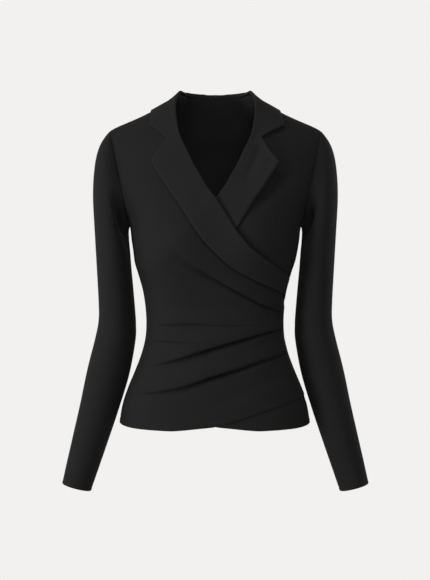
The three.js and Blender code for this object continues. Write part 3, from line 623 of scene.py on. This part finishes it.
# Where the over lapel's roll lies on what is below, in the coordinates of the left
ROLL_GROOVE = [
    (-6, -165, 0, 4), (2, -176, 4.2, 3.8), (17, -200, 5.0, 3.6), (33.5, -225.5, 4.8, 3.6),
    (54, -250, 4.2, 3.6), (74.5, -267, 3.8, 3.6), (98, -285.4, 3.2, 3.8), (118, -298, 2.2, 4),
    (134, -306, 0.6, 4)]
BENEATH_TROUGH = {"deep": 1.25, "wide": 1.3}  # the same trough in the under front, which makes way
UNDER_CREASES = [
    ([(60, -300, 0, 10), (30, -360, 1.2, 9), (-20, -410, 1.0, 9), (-70, -440, 0, 9)], 0.5),
    ([(104, -76, 0, 9), (116, -106, 9.5, 13), (108, -126, 13.0, 15), (90, -153, 9.0, 13),
      (70, -182, 4.0, 9), (57, -202, 0, 8)], -0.05),
    ([(76, -71, 1.5, 4), (90, -65, 2.6, 4), (104, -56.5, 3.0, 4.5), (115, -51, 1.6, 4),
      (118, -40, 0, 4)], 0),
    ([(76, -71, 2.5, 4.5), (89, -91, 3.4, 5), (106, -110, 4.0, 5)], 0),
    ([(106, -111, 3.0, 4), (97, -127.5, 4.0, 4.5), (85, -146, 4.0, 4.5), (73, -164, 4.0, 4),
      (62, -179.5, 3.6, 3.5), (53, -193, 3.2, 3.5), (36, -218, 2.6, 3.5), (20, -238, 0, 4)], 0),
    (ROLL_GROOVE, 0),
    ([(-x, z, BENEATH_TROUGH["deep"] * deep, BENEATH_TROUGH["wide"] * wide)
      for x, z, deep, wide in BUST_TROUGH], 0),
    ([(-17, -241.5, 0.8, 6), (11, -272, 1.4, 6), (37.5, -294, 1.4, 6), (72, -315.5, 1.4, 6),
      (105, -329.5, 1.0, 6)], 0),
]


def front_panel(name, way, over):
    form = on_form(front_places(over)) - np.array([0, SEAM_GAP / 2, 0])
    out, down = net_normals(form)
    x, z = form[..., 0], form[..., 2]
    if over:
        slide = pleat_shape(x, z)[2]
        lift = over_lift(x, z) + crease_lift(x, z, OVER_CREASES)
    else:
        slide = np.zeros_like(x)
        lift = FIRST_LAYER + crease_lift(x, z, UNDER_CREASES) - tuck_room(-x, z)
        lift = lift - (press("under", z) + press("band", z)) * caught(-x, z)
    edges, _, from_hem = panel_edges(form)
    net = form + out * (lift + edges)[..., None] + down * slide[..., None]
    net[..., 0] *= way
    if way < 0:
        net, from_hem = turned_round(net, from_hem)
    add_stitch_line(net, from_hem, HEM_STITCH)
    return cloth(name, net, KNIT / 2, hem_wall(from_hem))


BACK_CREASES = [
    ([(112, -372, 0, 6), (84, -380, 3.2, 5.5), (40, -392, 3.4, 6), (-4, -396, 1.5, 7),
      (-30, -396, 0, 9)], 0.6),
    ([(-110, -384, 0, 6), (-82, -376, 2.6, 5.5), (-46, -370, 2.2, 6), (-12, -369, 0, 8)], 0.6),
    ([(114, -404, 0, 6), (82, -416, 3.4, 6), (36, -424, 2.4, 7), (0, -424, 0, 9)], 0.6),
    ([(-116, -418, 0, 7), (-80, -412, 2.3, 6), (-40, -412, 1.7, 7), (-14, -414, 0, 8)], 0.6),
    ([(120, -340, 0, 7), (90, -346, 2.5, 6.5), (54, -350, 0.9, 8), (36, -351, 0, 8)], 0.6),
    ([(-118, -348, 0, 7), (-92, -344, 1.9, 6.5), (-60, -343, 0, 8)], 0.6),
    ([(140, -200, 0, 9), (118, -176, 2.6, 9), (100, -140, 1.8, 11), (92, -108, 0, 12)], 0.5),
    ([(-140, -204, 0, 9), (-120, -178, 2.4, 9), (-104, -146, 1.7, 11), (-94, -112, 0, 12)], -0.5),
    ([(60, -40, 0, 12), (30, -56, 0.9, 12), (-20, -58, 1.0, 12), (-62, -44, 0, 12)], -0.4),
    ([(10, -250, 0, 12), (2, -310, 1.2, 13), (-3, -360, 0, 12)], 0.3),
]


def back_panel():
    sides = np.linspace(-1, 1, 2 * BACK_HALF_COLUMNS + 1)[None, :]
    u = np.abs(sides)
    tip, neck = (float(place_of(x, shoulder_z(x), 1)[0]) for x in (SHOULDER_TIP, NECK_POINT))
    part = np.sin(math.pi / 2 * np.minimum(u / NECK_SHARE, 1) ** NECK_CURVE["spread"])
    neck_z = mix(BACK_NECK, shoulder_z(NECK_POINT), part ** NECK_CURVE["rise"])
    in_neck = place_of(NECK_POINT * part, neck_z, 1)
    on_shoulder = mix(neck, tip, np.clip((u - NECK_SHARE) / (1 - NECK_SHARE), 0, 1))
    on_shoulder = np.stack([on_shoulder, 0 * on_shoulder], -1)
    top = np.where((u >= NECK_SHARE)[..., None], on_shoulder, in_neck)
    under = place_of(half_width(UNDERARM) * np.sin(u * math.pi / 2), UNDERARM, 1)
    even = np.linspace(0, 1, BACK_ROWS[0] + 1)[:, None]
    x, z = armhole_stops(even)
    end = place_of(x, z, 1)
    end[0, :, 1] = 0
    end[-1, :, 0] = 1
    last = np.stack([mix(tip, 1, even), even * under[0, -1, 1]], -1)
    upper = mix(top, under, even[..., None]) + (end - last) * (u ** SIDE_FADE)[..., None]
    z = mix(UNDERARM, HEM_BACK, np.linspace(0, 1, BACK_ROWS[1] + 1)[1:, None])
    over = place_of(half_width(z) * np.sin(u * math.pi / 2), z, 1)[..., 1]
    lower = np.stack([u + 0 * z, over], -1)
    places = np.concatenate([upper, lower])
    places[..., 0] *= np.sign(sides)
    form = on_form(places) + np.array([0, SEAM_GAP / 2, 0])
    out, _ = net_normals(form)
    edges, from_top, from_hem = panel_edges(form)
    lift = FIRST_LAYER + crease_lift(form[..., 0], form[..., 2], BACK_CREASES)
    lift = lift + edges + seam_dip(from_top) * (u >= NECK_SHARE)
    net = form + out * lift[..., None]
    add_stitch_line(net, from_hem, HEM_STITCH)
    return cloth("back_panel", net, KNIT / 2, hem_wall(from_hem))


# Creases of a sleeve: (angle from the outer line towards the front, distance from the
# shoulder along the sleeve, depth, width), angles in degrees
SLEEVE_CREASES = {
    -1: [
        ([(118, -4, 0, 26), (125, 8, 5, 32), (132, 22, 9.5, 38), (141, 42, 7.5, 38), (150, 68, 4, 32),
          (158, 98, 1.2, 24), (162, 124, 0, 18)], 0),
        ([(136, -2, 2, 9), (142, 8, 11, 15), (147, 19, 13, 19), (151, 31, 6, 20), (154, 44, 0, 18)], 0),
        ([(176, 306, 0, 8), (150, 316, 1.5, 8), (118, 326, 1.0, 9), (88, 330, 0, 10)], 0.6),
        ([(178, 336, 0, 8), (146, 346, 1.2, 8), (108, 350, 0.6, 9), (84, 352, 0, 10)], 0.6),
        ([(226, 312, 0, 8), (250, 322, 1.2, 9), (286, 330, 0, 10)], 0.6),
        ([(210, 160, 0, 9), (236, 200, 1.4, 10), (262, 240, 0, 12)], 0.5),
        ([(60, 470, 0, 9), (96, 486, 0.8, 9), (140, 494, 0, 9)], 0.5),
    ],
    1: [
        ([(117, -4, 0, 26), (124, 8, 5, 32), (131, 21, 9.5, 38), (140, 40, 7.5, 38), (149, 64, 4, 32),
          (157, 92, 1.2, 24), (161, 118, 0, 18)], 0),
        ([(135, -2, 2, 9), (141, 7, 11, 15), (146, 18, 13, 19), (150, 29, 6, 20), (153, 41, 0, 18)], 0),
        ([(178, 316, 0, 8), (152, 324, 1.4, 8), (116, 330, 0.9, 9), (90, 332, 0, 10)], 0.6),
        ([(176, 344, 0, 8), (150, 352, 1.1, 8), (116, 360, 0, 9)], 0.6),
        ([(222, 318, 0, 8), (254, 330, 1.2, 9), (290, 336, 0, 10)], 0.6),
        ([(208, 156, 0, 9), (232, 190, 1.3, 10), (256, 226, 0, 12)], 0.5),
        ([(64, 500, 0, 9), (100, 512, 0.8, 9), (136, 518, 0, 9)], 0.5),
    ],
}


def armhole_loop():
    even = np.linspace(0, 1, ARMHOLE_STEPS + 1)
    x, z = armhole_stops(even)
    halves = []
    for side in (-1, 1):
        place = place_of(x, z, side)
        place[0, 1] = side * 1e-6  # only just over the shoulder, on that side
        place[-1, 0] = 1
        halves.append(on_form(place) + form_normal(place) * FIRST_LAYER)
    return np.concatenate([halves[0], halves[1][1:-1][::-1]])


def sleeve(name, way):
    loop = armhole_loop()
    count = len(loop)
    turn = (2 * math.pi * np.arange(count) / count)[None, :]
    across = (1 + np.cos(turn)) / 2
    at = np.linspace(0, len(SLEEVE) - 1, SLEEVE_RINGS + 1)[:, None]
    table = np.column_stack([np.arange(len(SLEEVE)), SLEEVE])
    out_x, out_z, in_x, in_z, middle, deep = (smooth(table, k, at) for k in range(1, 7))
    section = np.stack([
        mix(in_x, out_x, across), middle - deep * np.sin(turn), mix(in_z, out_z, across)], -1)
    start = loop[None] + 0 * section
    start[..., 0] += mix(SLEEVE_GAP["under"], SLEEVE_GAP["top"], across)
    seam = (1 - ease(at / SLEEVE_CAP_ROWS))[..., None]
    net = mix(section, start, seam)
    out, _ = net_normals(net, closed=True)
    down = along_columns(net)
    from_cuff = down[-1:] - down
    round_mm = along_rows(net)
    level = np.mean(down, axis=1, keepdims=True) + 0 * down
    radius = np.mean(round_mm[:, -1:], axis=1, keepdims=True) / (2 * math.pi)
    creases = [
        ([(math.radians(angle) * SLEEVE_RADIUS, *rest) for angle, *rest in run], ridge)
        for run, ridge in SLEEVE_CREASES[way]]
    lift = crease_lift(turn * SLEEVE_RADIUS + 0 * down, level, creases)
    lift = lift + seam_dip(np.abs(turn - math.pi) * radius, deep=0.5, wide=1.2)
    lift = lift * ease(down / ARMHOLE_FADE) + seam_dip(down, deep=0.32)
    lift = lift + hem_shape(from_cuff, round_mm, CUFF_STITCH)
    net = net + out * lift[..., None]
    net[..., 0] *= way
    if way < 0:
        net, from_cuff = turned_round(net, from_cuff)
    add_stitch_line(net, from_cuff, CUFF_STITCH, closed=True)
    return cloth(name, net, KNIT / 2, hem_wall(from_cuff), closed=True)


# Collar, lapel and band
# Rise of the outer edge off the chest by collar row, right (over) and left (under)
EDGE_RISE = {
    -1: np.array([
        (0, 0.4), (3, 0), (5, -0.8), (6, -0.8), (8, 1.0), (11, 0.8), (13, 2.0), (15, 1.6),
        (17, 1.8), (19, 2.0), (22, 2.0), (24, 1.2), (25, 0.4)]),
    1: np.array([
        (0, 0.4), (3, 0), (5, -0.8), (6, -0.6), (7, 3.5), (8, 6.0), (9, 6.0), (10, 4.5),
        (11, 4.0), (12, 10.0), (13, 16.0), (14, 15.5), (15, 13.0), (16, 9.0), (17, 4.5),
        (18, 1.8), (20, 0.8), (25, 0)]),
}
# How far the last few millimetres of that edge turn back, the most by side
EDGE_TURN = {"most": {-1: 1.0, 1: 3.4}, "least": 0.6, "by rise": 0.5, "from": 0.93}
# The fall between roll and edge: power of its rise, and how the band is pressed flat
FALL = {"power": 2.2, "pressed": 1.2, "pressed from": 0.2, "pressed gap": 0.05}
# A collar row, and over how many rows it comes about
CHANGES = {"no room": (6, 4), "edge turns": (5, 2), "stand falls": (1.5, 3), "faces front": (6, 2)}
LAPEL_CREASES = [  # soft hollow down the under lapel, and the groove under the over lapel
    ([(74, -76, 0, 5), (71, -92, 2.6, 6), (63, -114, 3.2, 7), (54, -134, 2.2, 7),
      (46, -152, 0, 8)], 0.3),
    (ROLL_GROOVE, 0),
]


def collar_table(over):
    rows = COLLAR.copy()
    if not over:
        for row, place in UNDER_EDGE.items():
            rows[row, 3:5] = place
    roll = place_of(rows[:, 0], rows[:, 1], rows[:, 2])
    edge = place_of(rows[:, 3], rows[:, 4], rows[:, 5])
    roll = np.vstack([roll, [-1, seam_over(BAND_SEAM["roll"])]])
    edge = np.vstack([edge, [-1, seam_over(BAND_SEAM["edge"])]])
    return np.column_stack([np.arange(len(roll)), roll, edge])


def cornered(table, column, at, corners):
    """As smooth, but with a corner at each of the rows given."""
    value = np.zeros_like(at)
    bounds = [0, *corners, len(table) - 1]
    for low, high in zip(bounds[:-1], bounds[1:]):
        here = (at >= low) & (at <= high)
        value = np.where(here, smooth(table[low:high + 1], column, at), value)
    return value


def collar(name, way, over):
    table = collar_table(over)
    last = len(table) - 1
    end = last if over else UNDER_COLLAR_END
    at = np.linspace(0, end, end * STATION_STEPS + 1)

    def past(row, rows):
        """0 up to a row of the table, 1 from so many rows later."""
        return ease((at - row) / rows)[:, None]

    corners = [COLLAR_POINT, NOTCH, LAPEL_POINT]
    roll = np.stack([smooth(table, k, at) for k in (1, 2)], -1)
    edge = np.stack([cornered(table, k, at, corners) for k in (3, 4)], -1)
    part = spaced(FALL_COLUMNS, CROWDING["collar"])[None, :]
    fall = mix(roll[:, None], edge[:, None], part[..., None])
    points, outward = on_form(fall), form_normal(fall)
    x, z = points[..., 0], points[..., 2]
    lifts = over_lift(x, z) if over else np.full_like(x, FIRST_LAYER)
    flat = past(BAND_FLATTENS, last - BAND_FLATTENS)
    room = mix(ROLL["room"], 0, past(*CHANGES["no room"]))
    fall_lift = (KNIT + BAND_ROOM) / 2 + mix(LAY_GAP, FALL["pressed gap"], flat) + room
    rise = smooth(EDGE_RISE[way], 1, at)[:, None] * part ** FALL["power"]
    drop = EDGE_TURN["least"] + EDGE_TURN["by rise"] * rise[:, -1:]
    drop = np.minimum(EDGE_TURN["most"][way], drop) * (1 - flat) * past(*CHANGES["edge turns"])
    rise = rise - drop * ease((part - EDGE_TURN["from"]) / (1 - EDGE_TURN["from"]))
    if not over:
        rise = rise + crease_lift(x, z, LAPEL_CREASES)
    towards_edge = ease((part - FALL["pressed from"]) / (1 - FALL["pressed from"]))
    rise = rise - FALL["pressed"] * flat ** 2 * towards_edge
    low = mix(STAND["back"], STAND["front"], past(*CHANGES["stand falls"]))
    away = unit(points[:, 1] - points[:, 0])[:, None]
    first = lifts[:, :1]
    share = np.linspace(0, 1, STAND_COLUMNS + 1)[None, :-1]
    theta = np.linspace(-math.pi / 2, math.pi / 2, ROLL_COLUMNS + 1)[None]
    roll_along = ROLL["start"] - (ROLL["top"] + ROLL["start"]) * np.cos(theta) + 0 * first
    roll_lift = first + fall_lift / 2 * (1 + np.sin(theta))
    turn_along = np.concatenate([mix(low, ROLL["start"], share), roll_along], 1)
    turn_lift = np.concatenate([first + 0 * share, roll_lift], 1)
    turned = points[:, :1] + away * turn_along[..., None] + outward[:, :1] * turn_lift[..., None]
    ahead = past(*CHANGES["faces front"])[..., None]
    rising = unit(mix(outward, np.array([0, -1.0, 0]), ahead)) * rise[..., None]
    laid = points[:, 1:] + (outward * (lifts + fall_lift)[..., None] + rising)[:, 1:]
    net = np.concatenate([turned, laid], 1)
    net[0, :, 0] = SEAM_GAP / 2
    net[..., 0] *= way
    if way > 0:
        net = net[:, ::-1]
    return cloth(name, net, BAND / 2, BAND / 2)


# Meshes
def cloth(name, net, outer, inner, closed=False):
    """A wall of cloth round a net of middle points, with rounded edges, in metres."""
    out, down = net_normals(net, closed)
    rows, columns = net.shape[:2]
    outer = np.broadcast_to(outer, (rows, columns))[..., None]
    inner = np.broadcast_to(inner, (rows, columns))[..., None]
    sheets = [net + out * outer, net - out * inner]
    points = [s.reshape(-1, 3) for s in sheets]
    lengths, across = along_columns(net), along_rows(net)
    across = across - across[:, columns // 2, None]
    laid_flat = np.stack([across, lengths], -1).reshape(-1, 2)
    uv = [laid_flat, laid_flat]
    number = np.arange(rows * columns).reshape(rows, columns)
    wrap = (lambda a: np.concatenate([a, a[:, :1]], 1)) if closed else (lambda a: a)
    front, behind = wrap(number), wrap(number + rows * columns)
    faces = []

    def quads(a, b):
        # a and b are neighbouring runs of vertices; faces look to the right of a
        faces.append(np.stack([a[:-1], b[:-1], b[1:], a[1:]], -1).reshape(-1, 4))

    for i in range(rows - 1):
        quads(front[i], front[i + 1])
        quads(behind[i + 1], behind[i])
    count = 2 * rows * columns

    def rim_run(index, push):
        """One more run of vertices halfway round an edge, so that it is rounded."""
        nonlocal count
        half = ((sheets[0] + sheets[1]) / 2).reshape(-1, 3)[index]
        thick = (outer + inner).reshape(-1, 1)[index]
        points.append(half + push * thick * EDGE_ROUND)
        uv.append(laid_flat[index])
        run = count + np.arange(len(index))
        count += len(index)
        return run

    top, bottom = rim_run(number[0], -down[0]), rim_run(number[-1], down[-1])
    if closed:
        top, bottom = np.append(top, top[0]), np.append(bottom, bottom[0])
    quads(behind[0], top)
    quads(top, front[0])
    quads(front[-1], bottom)
    quads(bottom, behind[-1])
    if not closed:
        left = rim_run(number[:, 0], -unit(net[:, 1] - net[:, 0]))
        right = rim_run(number[:, -1], unit(net[:, -1] - net[:, -2]))
        quads(front[:, 0], left)
        quads(left, behind[:, 0])
        quads(right, front[:, -1])
        quads(behind[:, -1], right)
        faces.append(np.array([
            (front[0, 0], top[0], behind[0, 0], left[0]),
            (front[-1, 0], left[-1], behind[-1, 0], bottom[0]),
            (front[0, -1], right[0], behind[0, -1], top[-1]),
            (front[-1, -1], bottom[-1], behind[-1, -1], right[-1])]))
    mesh = bpy.data.meshes.new(name)
    faces = np.concatenate(faces)
    mesh.from_pydata((np.concatenate(points) / 1000).tolist(), [], faces.tolist())
    layer = mesh.uv_layers.new(name="Cut")
    corner = np.empty(len(mesh.loops), np.int32)
    mesh.loops.foreach_get("vertex_index", corner)
    layer.data.foreach_set("uv", (np.concatenate(uv)[corner] / 1000).astype(np.float32).ravel())
    mesh.polygons.foreach_set("use_smooth", [True] * len(mesh.polygons))
    mesh.update()
    piece = bpy.data.objects.new(name, mesh)
    bpy.context.collection.objects.link(piece)
    return piece


# Materials
class Value:
    """A socket that Python expressions can add, take away and multiply."""

    def __init__(self, tree, socket):
        self.tree, self.socket = tree, socket

    def fn(self, operation, other=0.0, swapped=False):
        node = self.tree.nodes.new("ShaderNodeMath")
        node.operation = operation
        for slot, value in zip(node.inputs, (other, self) if swapped else (self, other)):
            if isinstance(value, Value):
                self.tree.links.new(value.socket, slot)
            else:
                slot.default_value = value
        return Value(self.tree, node.outputs[0])

    def __add__(self, other):
        return self.fn("ADD", other)

    def __sub__(self, other):
        return self.fn("SUBTRACT", other)

    def __rsub__(self, other):
        return self.fn("SUBTRACT", other, True)

    def __mul__(self, other):
        return self.fn("MULTIPLY", other)

    def __truediv__(self, other):
        return self.fn("DIVIDE", other)

    __radd__ = __add__
    __rmul__ = __mul__


def feed(tree, made, sockets):
    """Gives a node's sockets their values or links."""
    for key, value in sockets.items():
        if isinstance(value, Value):
            tree.links.new(value.socket, made.inputs[key])
        else:
            made.inputs[key].default_value = value


def node(tree, kind, settings=None, sockets=None, out=0):
    """A node of that kind, its settings set first, then its sockets' values or links."""
    made = tree.nodes.new(kind)
    for key, value in (settings or {}).items():
        setattr(made, key, value)
    feed(tree, made, sockets or {})
    return Value(tree, made.outputs[out])


def new_material(name):
    """A material with its tree and its shader."""
    material = bpy.data.materials.new(name)
    material.use_nodes = True
    tree = material.node_tree
    return material, tree, tree.nodes["Principled BSDF"]


def grey(tree, tone):
    channels = dict.fromkeys(("Red", "Green", "Blue"), tone)
    return node(tree, "ShaderNodeCombineColor", {"mode": "RGB"}, channels)


def knit_material(name, black, bump):
    """Matte fine knit: columns of small V stitches, soft fuzz and faint colour changes."""
    material, tree, shader = new_material(name)
    cut = node(tree, "ShaderNodeUVMap", {"uv_map": "Cut"})
    place = node(tree, "ShaderNodeTexCoord", out="Object")
    u, v = (node(tree, "ShaderNodeSeparateXYZ", None, {"Vector": cut}, out=k) for k in "XY")
    lean = (u * (math.pi / WALE)).fn("SINE").fn("ABSOLUTE")
    row = (v / COURSE + lean * WALE_LEAN) * (2 * math.pi)
    rib = (u * (2 * math.pi / WALE)).fn("COSINE")
    stitch = row.fn("SINE") * 0.5 - rib * 0.5
    fuzz = node(tree, "ShaderNodeTexNoise", None, {"Vector": place, **FUZZ})
    cloud = node(tree, "ShaderNodeTexNoise", None, {"Vector": place, **CLOUD})
    height = stitch * KNIT_BUMP["stitch"] + fuzz * KNIT_BUMP["fuzz"] + cloud * KNIT_BUMP["cloud"]
    tone = KNIT_TONE["least"] + cloud * KNIT_TONE["cloud"] + stitch * KNIT_TONE["stitch"]
    tone = tone + (fuzz - 0.5) * KNIT_TONE["fuzz"]
    feed(tree, shader, KNIT_SHADER)
    feed(tree, shader, {
        "Base Color": grey(tree, tone * black),
        "Roughness": KNIT_ROUGH["least"] + cloud * KNIT_ROUGH["cloud"],
        "Normal": node(tree, "ShaderNodeBump", None, {
            "Strength": bump, "Distance": KNIT_BUMP["reach"], "Height": height})})
    return material


def thread_material():
    material, tree, shader = new_material("black thread")
    place = node(tree, "ShaderNodeTexCoord", out="Object")
    twist = node(tree, "ShaderNodeTexNoise", None, {"Vector": place, "Scale": THREAD["twist"]})
    tone = (THREAD["least"] + twist * THREAD["by twist"]) * THREAD["black"]
    feed(tree, shader, {"Base Color": grey(tree, tone), **THREAD_SHADER})
    return material


cloths = {slot: knit_material(*look) for slot, look in KNITS.items()}

pieces = [
    (back_panel(), "back", "knit", (0.53, 0.60), 0.209),
    (front_panel("front_over", -1, True), "front_right", "knit", (0.42, 0.58), 0.146),
    (front_panel("front_under", 1, False), "front_left", "knit", (0.42, 0.58), 0.142),
    (sleeve("sleeve_on_right", -1), "sleeve_right", "knit", (0.34, 0.62), 0.134),
    (sleeve("sleeve_on_left", 1), "sleeve_left", "knit", (0.34, 0.62), 0.134),
    (collar("collar_over", -1, True), "collar_lapel_right", "collar_knit", (0.10, 0.55), 0.032),
    (collar("collar_under", 1, False), "collar_lapel_left", "collar_knit", (0.10, 0.40), 0.022),
]
for piece, solid, slot, flat, area in pieces:
    piece.data.materials.append(cloths[slot])
    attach(piece, "root")
    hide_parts(solid)


# Stitches
def stitching(name, lines, material):
    """A row of stitches along each line, one small bead of thread after another."""
    points, edges = [], []
    for line, closed in lines:
        first, count = len(points), len(line)
        points.extend((line / 1000).tolist())
        edges.extend((first + k, first + (k + 1) % count) for k in range(count if closed else count - 1))
    mesh = bpy.data.meshes.new(name + " line")
    mesh.from_pydata(points, edges, [])
    carrier = bpy.data.objects.new(name + " line", mesh)
    bpy.context.collection.objects.link(carrier)

    tree = bpy.data.node_groups.new("stitches along lines", "GeometryNodeTree")
    outside = tree.interface
    outside.new_socket(name="Geometry", in_out="INPUT", socket_type="NodeSocketGeometry")
    sizes = {
        key: outside.new_socket(name=label, in_out="INPUT", socket_type="NodeSocketFloat")
        for key, label in (("pitch", "Pitch"), ("long", "Length"), ("thick", "Thickness"))}
    outside.new_socket(name="Geometry", in_out="OUTPUT", socket_type="NodeSocketGeometry")
    given = tree.nodes.new("NodeGroupInput")
    curve = tree.nodes.new("GeometryNodeMeshToCurve")
    even = tree.nodes.new("GeometryNodeResampleCurve")
    even.mode = "LENGTH"
    bead = tree.nodes.new("GeometryNodeMeshUVSphere")
    feed(tree, bead, BEAD)
    tangent = tree.nodes.new("GeometryNodeInputTangent")
    turn = tree.nodes.new("FunctionNodeAlignRotationToVector")
    turn.axis = "X"
    size = tree.nodes.new("ShaderNodeCombineXYZ")
    place = tree.nodes.new("GeometryNodeInstanceOnPoints")
    real = tree.nodes.new("GeometryNodeRealizeInstances")
    paint = tree.nodes.new("GeometryNodeSetMaterial")
    paint.inputs["Material"].default_value = material
    done = tree.nodes.new("NodeGroupOutput")
    links = [
        (given, "Geometry", curve, "Mesh"), (curve, "Curve", even, "Curve"),
        (given, "Pitch", even, "Length"), (even, "Curve", place, "Points"),
        (bead, "Mesh", place, "Instance"), (tangent, "Tangent", turn, "Vector"),
        (turn, "Rotation", place, "Rotation"), (given, "Length", size, "X"),
        (given, "Thickness", size, "Y"), (given, "Thickness", size, "Z"),
        (size, "Vector", place, "Scale"), (place, "Instances", real, "Geometry"),
        (real, "Geometry", paint, "Geometry"), (paint, "Geometry", done, "Geometry")]
    for source, gives, target, takes in links:
        tree.links.new(source.outputs[gives], target.inputs[takes])
    modifier = carrier.modifiers.new("stitches", "NODES")
    modifier.node_group = tree
    for key, socket in sizes.items():
        modifier[socket.identifier] = STITCH[key] / 1000
    seen = carrier.evaluated_get(bpy.context.evaluated_depsgraph_get())
    made = bpy.data.objects.new(name, bpy.data.meshes.new_from_object(seen))
    bpy.context.collection.objects.link(made)
    bpy.data.objects.remove(carrier)
    return made


hem_stitches = stitching("hem_and_cuff_stitches", stitch_lines, thread_material())
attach(hem_stitches, "root")


# Camera, backdrop and lights
def camera():
    data = bpy.data.cameras.new("camera")
    data.sensor_fit = "VERTICAL"
    data.angle = 2 * math.atan(CAMERA["tall"] / 2 / abs(CAMERA["y"]))
    made = bpy.data.objects.new("camera", data)
    made.location = (CAMERA["x"], CAMERA["y"], CAMERA["z"])
    made.rotation_euler = (math.pi / 2, 0, 0)
    bpy.context.collection.objects.link(made)
    bpy.context.scene.camera = made


def stage_piece(name, mesh, sockets):
    material, tree, shader = new_material(name)
    feed(tree, shader, {"Roughness": 1.0, "Specular IOR Level": 0.0, **sockets})
    mesh.materials.append(material)
    made = bpy.data.objects.new(name, mesh)
    bpy.context.collection.objects.link(made)
    return made


def floor():
    mesh = bpy.data.meshes.new("floor")
    corners = []
    for k in range(FLOOR["corners"]):
        turn = 2 * math.pi * k / FLOOR["corners"]
        corners.append((FLOOR["radius"] * math.cos(turn), FLOOR["radius"] * math.sin(turn), FLOOR["z"]))
    mesh.from_pydata(corners, [], [list(range(len(corners)))])
    stage_piece("floor", mesh, {"Base Color": (*FLOOR["colour"], 1)})


def backdrop():
    """A pale room that only the camera sees, all round the top."""
    mesh = bpy.data.meshes.new("backdrop")
    shape = bmesh.new()
    bmesh.ops.create_uvsphere(shape, u_segments=32, v_segments=16, radius=BACKDROP["radius"])
    shape.to_mesh(mesh)
    shape.free()
    made = stage_piece("backdrop", mesh, {
        "Base Color": (0, 0, 0, 1), "Emission Color": (*BACKDROP["colour"], 1),
        "Emission Strength": 1.0})
    made.visible_diffuse = made.visible_glossy = made.visible_transmission = False
    made.visible_shadow = False


def light(name, place, size, power):
    data = bpy.data.lights.new(name, "AREA")
    data.shape, data.size, data.energy = "DISK", size, power
    made = bpy.data.objects.new(name, data)
    made.location = place
    made.rotation_euler = (Vector(LIGHT_AIM) - Vector(place)).to_track_quat("-Z", "Y").to_euler()
    made.visible_camera = False
    bpy.context.collection.objects.link(made)


camera()
backdrop()
floor()
for lamp in LIGHTS:
    light(*lamp)
world = bpy.data.worlds.new("studio")
world.use_nodes = True
world.node_tree.nodes["Background"].inputs["Color"].default_value = (*[STUDIO_GREY] * 3, 1)
bpy.context.scene.world = world
bpy.context.scene.view_settings.view_transform = "Standard"
